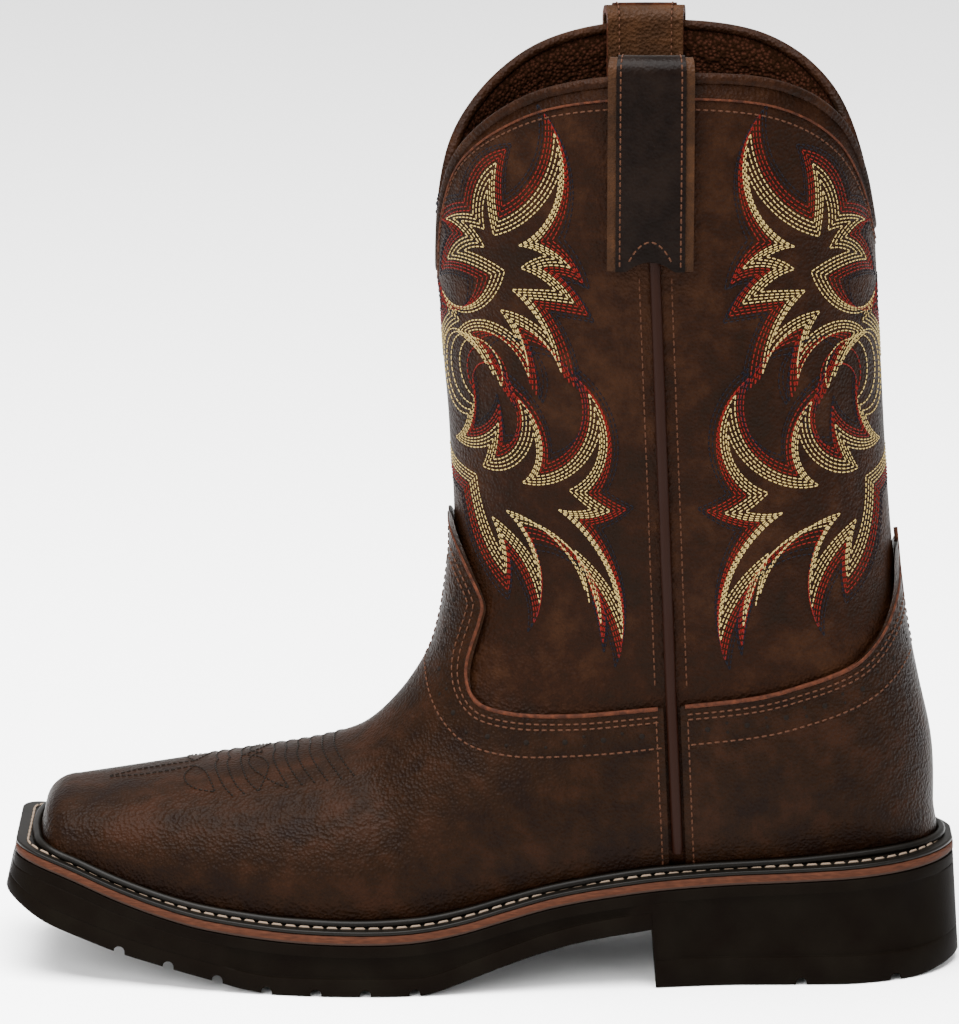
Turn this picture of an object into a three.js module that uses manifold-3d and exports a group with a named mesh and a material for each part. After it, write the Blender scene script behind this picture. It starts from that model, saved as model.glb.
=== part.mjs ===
// Square-toed western work boot, a left one, standing on its sole. Millimetres, +Z up, +X to the toe,
// +Y to the outer side. The origin is on the floor under the middle of the heel.
import * as THREE from 'three';
import { mergeVertices } from 'three/addons/utils/BufferGeometryUtils.js';
import Module from 'manifold-3d';

const wasm = await Module();
wasm.setup();

// Last and leg
const lastLength = 295.6;    // heel back to toe front, over the leather
const ballWidth = 91;        // over the ball of the foot
const heelWidth = 61;        // over the heel seat
const forefootHeight = 20.6; // top of the sole under the ball, above the floor
const heelHeight = 38.1;     // top of the sole under the heel, above the floor
const throatRise = 110;      // from the forefoot up to the bend where the leg begins
const legRise = 271;         // from the heel seat up to the collar
const legBreadth = 109;      // across the leg at the collar
const heelCentre = 0.16;     // share of the last's length behind the origin
const toeRound = 9;          // the toe cap's rounding, along the boot
const toeCorner = 11;        // and at its two corners
const toeDrop = 7;           // and at its top edge
const toeDome = 1.5;         // its front's bulge
const footSink = 12;         // the foot's sections run on this far below the sole's top

// Leathers
const wall = 2.4;            // upper and lining
const overlay = 1.6;         // vamp and counter
const gap = 0.3;             // clearance between pieces
const lastingMargin = 13;    // upper turned in under the insole
const insoleThickness = 3.2;
const pipingWidth = 3.8;
const pipingRise = 2.3;      // side cord above the leg's surface
const seamGroove = 0.9;      // between the cord and the leather beside it
const bindingRadius = 1.9;   // rolled edge of the collar
const bindingSeat = 0.6;     // the collar line runs this far above the binding's underside
const strapWidth = 26.9;
const strapThickness = 2.6;
const strapLoop = 5.2;       // the strap's fold above the collar
const strapNotch = 3.4;      // arch cut in the strap's lower end
const strapEase = 0.2;       // the strap's play over the binding

// Sole
const weltThickness = 1.5;
const beadWidth = 2.9;       // rolled bead of the welt
const beadHeight = 2.7;
const weltReach = 8.2;       // welt beyond the vamp at the ball
const heelReach = 7.2;       // and behind the counter
const weltTuck = 0.2;        // welt behind the midsole's edge
const beadTuck = 1.7;        // and its bead
const midsoleThickness = 3.1;
const toeCornerSole = 12;
const leastCorner = 2;       // of an outline drawn in from the sole's edge
const toeFlare = 3.6;        // outsole beyond the midsole at the toe
const sideFlare = 1.5;
const heelFlare = 2.2;
const flangeHeight = 4;      // upper lip of the outsole's side
const treadBand = 6;         // lower band of the outsole's side
const heelBand = 9.5;
const sideRecess = 1.4;      // panel sunk between lip and band
const edgeBevel = 1.4;
const edgeStep = 0.5;        // height of the step into and out of the sunk panel
const breastRake = 2.6;      // lean of the heel's front face
const heelBevel = 2.4;       // the heel's rear edge is lifted this much off the floor
const archHeight = 20;       // underside of the arch at the heel's breast
const toeSpring = 27.5;      // underside of the toe's front
const panelEase = 6;         // the sunk panel keeps this far from the heel's breast
const lugGroove = 3.6;       // groove between two lugs
const grooveDepth = 2.6;
const lugPitch = 16.4;
const lugStart = 2;          // first groove in front of the arch's end
const lugCount = 7;
const plainHalf = 14;        // half width of the plain middle of the tread

// Fineness of the faceted surfaces
const loopSteps = 26;
const loopCrowding = 0.4;    // how much closer the places lie at front and back
const rowSteps = 22;
const toeRings = 4;
const heelStations = 6;
const sideStations = 18;
const toeStations = 5;

const xAt = (share) => (share - heelCentre) * lastLength;
const seatHeight = heelHeight + gap;
const forefootUp = (share) => forefootHeight + share * throatRise;
const legUp = (share) => seatHeight + share * legRise;

const TAU = Math.PI * 2;
const clamp = THREE.MathUtils.clamp;

// From 0 at a to 1 at b, with soft ends; b may lie on either side of a.
function smooth(a, b, x) {
  const t = clamp((x - a) / (b - a), 0, 1);
  return t * t * (3 - 2 * t);
}

// A smooth curve through the rows of a table: the value of one column where another has the value x.
function column(rows, key, x, by = 'at') {
  const last = rows.length - 1;
  let i = 0;
  while (i < last - 1 && rows[i + 1][by] < x) i += 1;
  const slope = (k) => {
    const a = rows[Math.max(k - 1, 0)];
    const b = rows[Math.min(k + 1, last)];
    return (b[key] - a[key]) / (b[by] - a[by]);
  };
  const p = rows[i];
  const q = rows[i + 1];
  const span = q[by] - p[by];
  const t = clamp((x - p[by]) / span, 0, 1);
  const t2 = t * t;
  const t3 = t2 * t;
  return p[key] * (2 * t3 - 3 * t2 + 1) + slope(i) * span * (t3 - 2 * t2 + t)
    + q[key] * (3 * t2 - 2 * t3) + slope(i + 1) * span * (t3 - t2);
}

// Top of the sole seen from the side: at = share of the last's length, rise = share of the heel's
// rise over the forefoot.
const soleTopRows = [
  { at: -0.04, rise: 1.17 },
  { at: 0.09, rise: 1.06 },
  { at: 0.16, rise: 1 },
  { at: 0.3, rise: 0.9 },
  { at: 0.36, rise: 0.8 },
  { at: 0.43, rise: 0.61 },
  { at: 0.48, rise: 0.4 },
  { at: 0.525, rise: 0.19 },
  { at: 0.57, rise: 0.05 },
  { at: 0.62, rise: 0 },
  { at: 0.69, rise: 0.01 },
  { at: 0.75, rise: 0.06 },
  { at: 0.82, rise: 0.2 },
  { at: 0.87, rise: 0.39 },
  { at: 0.92, rise: 0.65 },
  { at: 0.97, rise: 0.97 },
  { at: 1.01, rise: 1.2 },
  { at: 1.05, rise: 1.37 },
];
const soleTop = (x) => forefootHeight
  + (heelHeight - forefootHeight) * column(soleTopRows, 'rise', x / lastLength + heelCentre);

// Plan of the last: half widths to each side, as shares of the heel's or the ball's width.
const planRows = [
  { at: 0, outer: 0.47, inner: 0.47 },
  { at: 0.09, outer: 0.49, inner: 0.49 },
  { at: 0.17, outer: 0.5, inner: 0.49 },
  { at: 0.25, outer: 0.495, inner: 0.455 },
  { at: 0.33, outer: 0.47, inner: 0.405 },
  { at: 0.41, outer: 0.43, inner: 0.36 },
  { at: 0.48, outer: 0.435, inner: 0.365 },
  { at: 0.55, outer: 0.462, inner: 0.425 },
  { at: 0.62, outer: 0.484, inner: 0.492 },
  { at: 0.69, outer: 0.478, inner: 0.515 },
  { at: 0.75, outer: 0.448, inner: 0.5 },
  { at: 0.84, outer: 0.39, inner: 0.448 },
  { at: 0.92, outer: 0.318, inner: 0.372 },
  { at: 0.97, outer: 0.268, inner: 0.324 },
  { at: 1.04, outer: 0.2, inner: 0.26 },
];
function planHalf(x, side) {
  const at = x / lastLength + heelCentre;
  const width = THREE.MathUtils.lerp(heelWidth, ballWidth, smooth(0.2, 0.5, at));
  return width * column(planRows, side > 0 ? 'outer' : 'inner', at);
}

// Sections of foot and leg, from the toe up to the collar. Each lies in a plane through a point of
// the front line and a point of the back line, as a page of a half-open book does.
// Foot: top = front line, rise = its height as a share of throatRise, under = place on the sole,
// swell = half width over the plan's, widest = where, from the back line, roof and floor = fullness.
const footRows = [
  { top: 0.967, rise: 0.326, under: 0.967, swell: 1.05, widest: 0.55, roof: 2.5, floor: 3.2, ridge: -0.04 },
  { top: 0.911, rise: 0.348, under: 0.918, swell: 1.06, widest: 0.52, roof: 2.4, floor: 3.2, ridge: -0.045 },
  { top: 0.837, rise: 0.379, under: 0.854, swell: 1.06, widest: 0.49, roof: 2.25, floor: 3.1, ridge: -0.05 },
  { top: 0.762, rise: 0.414, under: 0.789, swell: 1.06, widest: 0.46, roof: 2.1, floor: 3, ridge: -0.05 },
  { top: 0.701, rise: 0.445, under: 0.722, swell: 1.05, widest: 0.43, roof: 2, floor: 3, ridge: -0.045 },
  { top: 0.659, rise: 0.478, under: 0.647, swell: 1.05, widest: 0.42, roof: 1.95, floor: 2.9, ridge: -0.04 },
  { top: 0.632, rise: 0.52, under: 0.566, swell: 1.06, widest: 0.42, roof: 1.9, floor: 2.8, ridge: -0.03 },
  { top: 0.607, rise: 0.584, under: 0.481, swell: 1.12, widest: 0.43, roof: 1.9, floor: 2.6, ridge: -0.02 },
  { top: 0.583, rise: 0.666, under: 0.39, swell: 1.22, widest: 0.45, roof: 1.9, floor: 2.45, ridge: -0.01 },
  { top: 0.56, rise: 0.775, under: 0.289, swell: 1.27, widest: 0.48, roof: 1.95, floor: 2.4, ridge: 0 },
  { top: 0.548, rise: 0.889, under: 0.187, swell: 1.29, widest: 0.5, roof: 2, floor: 2.4, ridge: 0 },
  { top: 0.542, rise: 0.994, under: 0.086, swell: 1.32, widest: 0.52, roof: 2, floor: 2.3, ridge: 0 },
];
// Leg: front and back with their heights as shares of legRise, half = half width over legBreadth.
const legRows = [
  { front: 0.538, frontUp: 0.378, back: 0.003, backUp: 0, half: 0.363, widest: 0.5, roof: 2, floor: 2.1 },
  { front: 0.538, frontUp: 0.411, back: 0, backUp: 0.057, half: 0.37, widest: 0.5, roof: 2, floor: 2.05 },
  { front: 0.539, frontUp: 0.452, back: 0.003, backUp: 0.134, half: 0.38, widest: 0.5, roof: 2, floor: 2 },
  { front: 0.542, frontUp: 0.5, back: 0.019, backUp: 0.215, half: 0.395, widest: 0.5, roof: 2, floor: 2 },
  { front: 0.545, frontUp: 0.555, back: 0.034, backUp: 0.297, half: 0.413, widest: 0.5, roof: 2, floor: 2 },
  { front: 0.55, frontUp: 0.618, back: 0.044, backUp: 0.385, half: 0.432, widest: 0.5, roof: 2, floor: 2 },
  { front: 0.554, frontUp: 0.684, back: 0.052, backUp: 0.489, half: 0.452, widest: 0.5, roof: 2, floor: 2 },
  { front: 0.559, frontUp: 0.765, back: 0.058, backUp: 0.596, half: 0.47, widest: 0.5, roof: 2, floor: 2 },
  { front: 0.561, frontUp: 0.854, back: 0.064, backUp: 0.706, half: 0.485, widest: 0.5, roof: 2, floor: 2 },
  { front: 0.56, frontUp: 0.935, back: 0.069, backUp: 0.824, half: 0.495, widest: 0.5, roof: 2, floor: 2 },
  { front: 0.559, frontUp: 1.05, back: 0.073, backUp: 1.05, half: 0.5, widest: 0.5, roof: 2, floor: 2 },
];

const sections = [
  ...footRows.map((row, at) => ({
    at,
    frontX: xAt(row.top),
    frontZ: forefootUp(row.rise),
    backX: xAt(row.under),
    backZ: soleTop(xAt(row.under)) - footSink,
    outer: planHalf(xAt(row.under), 1) * row.swell,
    inner: planHalf(xAt(row.under), -1) * row.swell,
    widest: row.widest,
    roof: row.roof,
    floor: row.floor,
    ridge: row.ridge * ballWidth,
  })),
  ...legRows.map((row, i) => ({
    at: footRows.length + i,
    frontX: xAt(row.front),
    frontZ: legUp(row.frontUp),
    backX: xAt(row.back),
    backZ: legUp(row.backUp),
    outer: row.half * legBreadth,
    inner: row.half * legBreadth,
    widest: row.widest,
    roof: row.roof,
    floor: row.floor,
    ridge: 0,
  })),
];
const topSection = sections.length - 1;

// One section, for a place u along the rows. Below zero the rows run over the toe cap's rounding.
function section(u) {
  const row = {};
  for (const key of Object.keys(sections[0])) row[key] = column(sections, key, Math.max(u, 0));
  if (u < 0) {
    const turn = (1 + u) * Math.PI / 2;
    const inset = 1 - Math.sin(turn);
    const reach = toeRound * Math.cos(turn);
    row.frontX += reach;
    row.backX += reach;
    row.frontZ -= toeDrop * inset;
    row.backZ += toeDrop * inset;
    row.outer -= toeCorner * inset;
    row.inner -= toeCorner * inset;
  }
  return row;
}

// A point of the form: u along the sections, v once round, from the front line over the outer side.
function formPoint(u, v) {
  const row = section(u);
  const angle = v * TAU;
  const c = Math.cos(angle);
  const s = Math.sin(angle);
  const power = 2 / (c > 0 ? row.roof : row.floor);
  const along = Math.sign(c) * Math.abs(c) ** power;
  const across = Math.sign(s) * Math.abs(s) ** power;
  const h = c > 0 ? row.widest + (1 - row.widest) * along : row.widest * (1 + along);
  const half = s > 0 ? row.outer : row.inner;
  return new THREE.Vector3(
    row.backX + (row.frontX - row.backX) * h,
    half * across + row.ridge * Math.max(along, 0),
    row.backZ + (row.frontZ - row.backZ) * h,
  );
}
function formNormal(u, v) {
  const du = 0.02;
  const dv = 0.004;
  const u0 = Math.max(u - du, -1);
  const u1 = Math.min(u + du, topSection);
  const alongRows = formPoint(u1, v).sub(formPoint(u0, v));
  const round = formPoint(u, v + dv).sub(formPoint(u, v - dv));
  return round.cross(alongRows).normalize();
}
function offsetPoint(u, v, offset) {
  return formPoint(u, v).addScaledVector(formNormal(u, v), offset);
}

// Solids from closed meshes
function solid(positions, triangles) {
  return new wasm.Manifold(new wasm.Mesh({
    numProp: 3,
    vertProperties: new Float32Array(positions),
    triVerts: new Uint32Array(triangles),
  }));
}
function fromGeometry(geometry) {
  const bare = geometry.clone();
  bare.deleteAttribute('normal');
  bare.deleteAttribute('uv');
  const merged = mergeVertices(bare, 1e-5);
  return solid(merged.attributes.position.array, merged.index.array);
}

// Rings of equal length joined into one closed solid, with a fan over each end. The first fan's
// middle stands out by a dome, along the boot.
function loft(rings, dome = 0) {
  const count = rings[0].length;
  const positions = rings.flat().flatMap((p) => [p.x, p.y, p.z]);
  const triangles = [];
  for (let k = 0; k < rings.length - 1; k += 1) {
    for (let i = 0; i < count; i += 1) {
      const a = k * count + i;
      const b = k * count + (i + 1) % count;
      triangles.push(a, b, b + count, a, b + count, a + count);
    }
  }
  const cap = (ring, base, flip, out) => {
    const middle = ring.reduce((sum, p) => sum.add(p), new THREE.Vector3()).divideScalar(count);
    const centre = positions.length / 3;
    positions.push(middle.x + out, middle.y, middle.z);
    for (let i = 0; i < count; i += 1) {
      const j = (i + 1) % count;
      triangles.push(centre, base + (flip ? j : i), base + (flip ? i : j));
    }
  };
  cap(rings[0], 0, true, dome);
  cap(rings[rings.length - 1], (rings.length - 1) * count, false, 0);
  const made = solid(positions, triangles);
  if (made.volume() > 0) return made;
  for (let t = 0; t < triangles.length; t += 3) {
    const swap = triangles[t];
    triangles[t] = triangles[t + 1];
    triangles[t + 1] = swap;
  }
  return solid(positions, triangles);
}

// Collar line: turn = degrees round the leg from its front, up = height as a share of legRise.
const collarRows = [
  { turn: 0, up: 0.733 },
  { turn: 4, up: 0.739 },
  { turn: 8, up: 0.761 },
  { turn: 14, up: 0.812 },
  { turn: 23.5, up: 0.872 },
  { turn: 36, up: 0.919 },
  { turn: 51, up: 0.96 },
  { turn: 63, up: 0.982 },
  { turn: 79, up: 0.996 },
  { turn: 99, up: 1 },
  { turn: 118, up: 0.992 },
  { turn: 132, up: 0.971 },
  { turn: 144, up: 0.94 },
  { turn: 152, up: 0.909 },
  { turn: 161, up: 0.862 },
  { turn: 168, up: 0.819 },
  { turn: 174, up: 0.794 },
  { turn: 180, up: 0.786 },
];
const collarDrop = 2 * bindingRadius - bindingSeat;
function collarPlace(v) {
  const height = legUp(column(collarRows, 'up', 360 * Math.min(v, 1 - v), 'turn')) - collarDrop;
  let low = footRows.length;
  let high = topSection;
  for (let k = 0; k < 40; k += 1) {
    const mid = (low + high) / 2;
    if (formPoint(mid, v).z < height) low = mid;
    else high = mid;
  }
  return (low + high) / 2;
}

// Places round a section lie closer at the front and the back, where the leg bends most.
const loopPlace = (t) => t - loopCrowding * Math.sin(2 * TAU * t) / (2 * TAU);

// The whole form grown by an offset, as a filled solid from the toe up to the collar line, or on
// past it as a cutter. The rings are drawn towards the collar line from one section of the leg on.
const drawnFrom = footRows.length + 4;
const formCache = new Map();
function form(offset, collared = false) {
  const key = `${offset} ${collared}`;
  if (!formCache.has(key)) {
    const places = [];
    for (let k = 0; k < toeRings; k += 1) places.push(k / toeRings - 1);
    for (let k = 0; k <= rowSteps; k += 1) places.push((k / rowSteps) * topSection);
    const rings = places.map((u) => {
      const ring = [];
      for (let i = 0; i < loopSteps; i += 1) {
        const v = loopPlace(i / loopSteps);
        const top = collared ? collarPlace(v) : topSection;
        const spot = u < drawnFrom ? u : THREE.MathUtils.mapLinear(u, drawnFrom, topSection, drawnFrom, top);
        ring.push(offsetPoint(spot, v, offset));
      }
      return ring;
    });
    formCache.set(key, loft(rings, toeDome));
  }
  return formCache.get(key);
}

// A cutter: a closed outline seen from the side, run through the boot from one side to the other.
function sideCutter(points, from = -legBreadth, to = legBreadth) {
  const shape = new THREE.Shape(points.map(([x, z]) => new THREE.Vector2(x, z)));
  const geometry = new THREE.ExtrudeGeometry(shape, { depth: to - from, bevelEnabled: false });
  geometry.rotateX(Math.PI / 2);
  geometry.translate(0, to, 0);
  return fromGeometry(geometry);
}
function curvePoints(points, steps) {
  const places = points.map(([x, z]) => new THREE.Vector3(x, 0, z));
  const curve = new THREE.CatmullRomCurve3(places, false, 'centripetal');
  return curve.getSpacedPoints(steps).map((p) => [p.x, p.z]);
}

// Plan of the sole. A station s runs from 0 at the heel's back over 1 and 2 to 3 at the toe's front,
// grow moves the outline outwards from the welt's edge.
const soleBack = xAt(0) - overlay - gap - heelReach;
const soleFront = xAt(1) + overlay + gap + weltReach;
const heelTurn = xAt(0.11);
const toeTurn = soleFront - toeCornerSole;
const heelFlat = 0.12;       // share of the heel's quarter turn that its flat back takes
const heelPlan = 0.06;       // the heel's arc takes its width from here
const toePlan = planRows[planRows.length - 1].at;
const edgeReach = (x) => overlay + gap
  + THREE.MathUtils.lerp(heelReach, weltReach, smooth(0, lastLength / 3, x));
function planPoint(s, grow) {
  const corner = Math.max(toeCornerSole + grow, leastCorner);
  const cornerStart = soleFront + grow - corner;
  let x;
  let tuck = 0;
  let round = 1;
  if (s < 1) {
    const turn = THREE.MathUtils.lerp(heelFlat, 1, s) * Math.PI / 2;
    x = heelTurn - (heelTurn - soleBack + grow) * Math.cos(turn);
    round = Math.sin(turn);
  } else if (s < 2) {
    x = THREE.MathUtils.lerp(heelTurn, cornerStart, s - 1);
  } else {
    const turn = (s - 2) * Math.PI / 2;
    x = cornerStart + corner * Math.sin(turn);
    tuck = corner * (1 - Math.cos(turn));
  }
  const near = clamp(x, xAt(heelPlan), xAt(toePlan));
  const half = (side) => (planHalf(near, side) + edgeReach(near) + grow) * round - tuck;
  return { x, outer: half(1), inner: half(-1) };
}
const stations = [];
for (let k = 0; k < heelStations; k += 1) stations.push(k / heelStations);
for (let k = 0; k < sideStations; k += 1) stations.push(1 + k / sideStations);
for (let k = 0; k <= toeStations; k += 1) stations.push(2 + k / toeStations);

// A sole piece: levels from its underside to its top, each with an outline's growth and a height,
// both functions of the place along the boot. The two flat ends are ladders of planks.
function sole(levels) {
  const count = stations.length;
  const positions = [];
  for (const { grow, height } of levels) {
    const rungs = stations.map((s) => planPoint(s, grow(planPoint(s, 0).x)));
    for (const r of rungs) positions.push(r.x, r.outer, height(r.x));
    for (const r of [...rungs].reverse()) positions.push(r.x, -r.inner, height(r.x));
  }
  const loop = 2 * count;
  const triangles = [];
  const quad = (a, b, c, d) => triangles.push(a, b, c, a, c, d);
  for (let k = 0; k < levels.length - 1; k += 1) {
    for (let i = 0; i < loop; i += 1) {
      const a = k * loop + i;
      const b = k * loop + (i + 1) % loop;
      quad(b, a, a + loop, b + loop);
    }
  }
  const top = (levels.length - 1) * loop;
  for (let i = 0; i < count - 1; i += 1) {
    const j = loop - 1 - i;
    quad(i, i + 1, j - 1, j);
    quad(top + j, top + j - 1, top + i + 1, top + i);
  }
  const made = solid(positions, triangles);
  return made.volume() > 0 ? made : solid(positions, triangles.reverse());
}
const still = (value) => () => value;

// Underside of the sole: height above the floor from the arch's end at the heel to the toe.
const archFront = 0.575;     // the forefoot lies flat from here
const springFrom = 0.742;    // to here
const breast = 0.312;        // front face of the heel
const breastX = xAt(breast);
const heelRear = 0.02;       // the heel's underside rises behind this
const archRows = [
  { at: 0.31, up: 1.01 },
  { at: 0.38, up: 0.86 },
  { at: 0.436, up: 0.67 },
  { at: 0.483, up: 0.45 },
  { at: 0.52, up: 0.25 },
  { at: 0.554, up: 0.07 },
  { at: archFront, up: 0 },
];
const springRows = [
  { at: springFrom, up: 0 },
  { at: 0.775, up: 0.05 },
  { at: 0.807, up: 0.13 },
  { at: 0.849, up: 0.23 },
  { at: 0.91, up: 0.39 },
  { at: 0.95, up: 0.53 },
  { at: 1, up: 0.73 },
  { at: 1.046, up: 1 },
];
const toeEnd = springRows[springRows.length - 1].at;
function tread(x) {
  const at = x / lastLength + heelCentre;
  if (x < breastX) return heelBevel * smooth(heelRear, -0.04, at);
  if (at < archFront) return archHeight * column(archRows, 'up', at);
  if (at < springFrom) return 0;
  return toeSpring * column(springRows, 'up', Math.min(at, toeEnd));
}

// Outsole with the heel moulded in one: lip, sunk panel and tread band round its side.
for (const x of [breastX - weltTuck, breastX + breastRake]) {
  stations.push(1 + (x - heelTurn) / (toeTurn - heelTurn));
}
stations.sort((a, b) => a - b);
const toeFlareFrom = 0.85;
const heelFlareFrom = 0.06;
const panelBack = 0.02;
const panelFront = 0.78;
const panelFade = 0.02;
const outsoleTop = (x) => soleTop(x) - midsoleThickness - gap;
const flare = (x) => sideFlare + (toeFlare - sideFlare) * smooth(xAt(toeFlareFrom), xAt(1), x)
  + (heelFlare - sideFlare) * smooth(xAt(heelFlareFrom), xAt(-0.02), x);
const panel = (x) => smooth(panelEase, 2 * panelEase, Math.abs(x - breastX))
  * smooth(xAt(panelFront + panelFade), xAt(panelFront), x)
  * smooth(xAt(panelBack - 2 * panelFade), xAt(panelBack), x);
const band = (x) => (x < breastX ? heelBand : treadBand);
const lipUnder = (x) => Math.max(outsoleTop(x) - flangeHeight, tread(x) + band(x) + 2 * edgeStep);
const depthShare = (x, z) => clamp((outsoleTop(x) - z) / (outsoleTop(x) - tread(x)), 0, 1);
const grown = (x, z) => flare(x) * depthShare(x, z);
const outsoleBlock = sole([
  { grow: (x) => flare(x) - edgeBevel, height: tread },
  { grow: (x) => flare(x), height: (x) => tread(x) + edgeBevel },
  { grow: (x) => grown(x, tread(x) + band(x)), height: (x) => tread(x) + band(x) },
  {
    grow: (x) => grown(x, tread(x) + band(x)) - sideRecess * panel(x),
    height: (x) => tread(x) + band(x) + edgeStep,
  },
  { grow: (x) => grown(x, lipUnder(x)) - sideRecess * panel(x), height: (x) => lipUnder(x) },
  { grow: (x) => grown(x, lipUnder(x)), height: (x) => lipUnder(x) + edgeStep },
  { grow: still(0), height: outsoleTop },
]);

// Grooves between the lugs: slots with a round bottom, from both edges up to the plain middle.
function groove(x, depth, from, to) {
  const shape = new THREE.Shape();
  const half = lugGroove / 2;
  shape.moveTo(-half, -depth);
  shape.lineTo(half, -depth);
  shape.lineTo(half, depth - half);
  shape.absarc(0, depth - half, half, 0, Math.PI, false);
  shape.closePath();
  const width = to - from;
  const geometry = new THREE.ExtrudeGeometry(shape, { depth: width, bevelEnabled: false, curveSegments: 3 });
  geometry.rotateX(Math.PI / 2);
  geometry.translate(x, to, tread(x));
  return fromGeometry(geometry);
}
const heelGrooves = { rear: 0.04, middle: 0.147 };
const grooves = [xAt(heelGrooves.rear), xAt(heelGrooves.middle)];
for (let k = 0; k < lugCount; k += 1) grooves.push(xAt(archFront) + lugStart + k * lugPitch);
let outsole = outsoleBlock;
for (const x of grooves) {
  outsole = outsole.subtract(groove(x, grooveDepth, plainHalf, ballWidth));
  outsole = outsole.subtract(groove(x, grooveDepth, -ballWidth, -plainHalf));
}

const midsole = sole([
  { grow: still(0), height: (x) => soleTop(x) - midsoleThickness },
  { grow: still(0), height: soleTop },
]);

// Layers over the sole, seen from the side: lines a lift above the midsole's clearance.
const below = -lastLength;
const behind = xAt(-0.06);
const ahead = xAt(1.07);
const bottomLine = (lift) => [behind, ...stations.map((s) => planPoint(s, 0).x), ahead]
  .map((x) => [x, soleTop(x) + gap + lift]);
const underSole = (lift) => sideCutter([...bottomLine(lift), [ahead, below], [behind, below]]);
const layer = (low, high) => sideCutter([...bottomLine(low), ...bottomLine(high).reverse()]);

// Welt: a flat strip round the boot, and its rolled bead against the leather.
const leatherOut = gap + overlay + gap;
const outlineBlock = (tuck) => sole([
  { grow: still(-tuck), height: still(0) },
  { grow: still(-tuck), height: still(2 * heelHeight) },
]);
const bead = form(leatherOut + beadWidth)
  .intersect(layer(weltThickness / 2, weltThickness + beadHeight))
  .intersect(outlineBlock(beadTuck));
const welt = outlineBlock(weltTuck)
  .intersect(layer(0, weltThickness))
  .add(bead)
  .subtract(form(leatherOut));

// Upper: one leather wall, lasted under the foot, open at the collar and underneath.
const featherGrow = -(weltReach + overlay + gap);
const openingGrow = featherGrow - lastingMargin;
const openingSlab = sole([
  { grow: still(openingGrow), height: (x) => soleTop(x) - wall },
  { grow: still(openingGrow), height: (x) => soleTop(x) + 2 * wall },
]);

const upper = form(0, true)
  .subtract(underSole(0))
  .subtract(form(-wall).subtract(underSole(wall)))
  .subtract(openingSlab);

// Insole: the footbed on the turned-in leather, with the filling of the opening under it.
const bedUnder = wall + 2 * gap;
const bedGrow = featherGrow - wall - 4 * gap;
const insole = sole([
  { grow: still(openingGrow - gap), height: (x) => soleTop(x) + gap },
  { grow: still(openingGrow - gap), height: (x) => soleTop(x) + bedUnder },
  { grow: still(bedGrow), height: (x) => soleTop(x) + bedUnder },
  { grow: still(bedGrow), height: (x) => soleTop(x) + bedUnder + insoleThickness },
]).intersect(form(-wall - gap));

// Side seam, as a strip seen from the side.
const seamTop = { at: 0.317, up: 0.763 };
const seamFoot = { at: 0.285, up: -0.04 };
const seamX = (up) => xAt(THREE.MathUtils.mapLinear(up, seamFoot.up, seamTop.up, seamFoot.at, seamTop.at));
function seamStrip(half, top) {
  return [
    [seamX(seamFoot.up) - half, legUp(seamFoot.up)],
    [seamX(seamFoot.up) + half, legUp(seamFoot.up)],
    [seamX(top) + half, legUp(top)],
    [seamX(top) - half, legUp(top)],
  ];
}
const pipingTop = seamTop.up - 0.004;
const slotTop = pipingTop + 0.02;
function piping(side) {
  const from = side > 0 ? 0 : -legBreadth;
  const strip = sideCutter(seamStrip(pipingWidth / 2, pipingTop), from, from + legBreadth);
  return form(gap + pipingRise).subtract(form(gap)).intersect(strip)
    .subtract(underSole(weltThickness + beadHeight + gap));
}

// Upper edges of vamp and counter.
const vampRows = [
  { at: 0.565, up: 0.435 },
  { at: 0.543, up: 0.425 },
  { at: 0.534, up: 0.401 },
  { at: 0.518, up: 0.362 },
  { at: 0.503, up: 0.325 },
  { at: 0.505, up: 0.305 },
  { at: 0.518, up: 0.255 },
  { at: 0.52, up: 0.231 },
  { at: 0.515, up: 0.213 },
  { at: 0.502, up: 0.202 },
  { at: 0.463, up: 0.196 },
  { at: 0.418, up: 0.197 },
  { at: 0.374, up: 0.201 },
  { at: 0.298, up: 0.211 },
];
const counterRows = [
  { at: 0.292, up: 0.212 },
  { at: 0.274, up: 0.214 },
  { at: 0.196, up: 0.224 },
  { at: 0.151, up: 0.235 },
  { at: 0.117, up: 0.245 },
  { at: 0.088, up: 0.258 },
  { at: 0.067, up: 0.279 },
  { at: 0.053, up: 0.303 },
  { at: 0.044, up: 0.335 },
  { at: 0.04, up: 0.385 },
  { at: 0.02, up: 0.39 },
];
const vampSteps = 30;
const counterSteps = 20;
const meetUp = 0.2;          // the two pieces meet at the seam from here down
const edge = (rows, steps) => curvePoints(rows.map((row) => [xAt(row.at), legUp(row.up)]), steps);
const pastToe = xAt(1.1);
const pastHeel = xAt(-0.1);
const skin = form(gap + overlay).subtract(form(gap)).subtract(underSole(0));
const seamSlot = sideCutter(seamStrip(pipingWidth / 2 + seamGroove, slotTop));
const vamp = skin
  .intersect(sideCutter([
    ...edge(vampRows, vampSteps),
    [seamX(meetUp), legUp(meetUp)],
    [seamX(seamFoot.up), legUp(seamFoot.up)],
    [seamX(seamFoot.up), below],
    [pastToe, below],
    [pastToe, legUp(vampRows[0].up)],
  ]))
  .subtract(seamSlot);
const counter = skin
  .intersect(sideCutter([
    ...edge(counterRows, counterSteps),
    [pastHeel, legUp(counterRows[counterRows.length - 1].up)],
    [pastHeel, below],
    [seamX(seamFoot.up), below],
    [seamX(seamFoot.up), legUp(seamFoot.up)],
    [seamX(meetUp), legUp(meetUp)],
  ]))
  .subtract(seamSlot);

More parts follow.
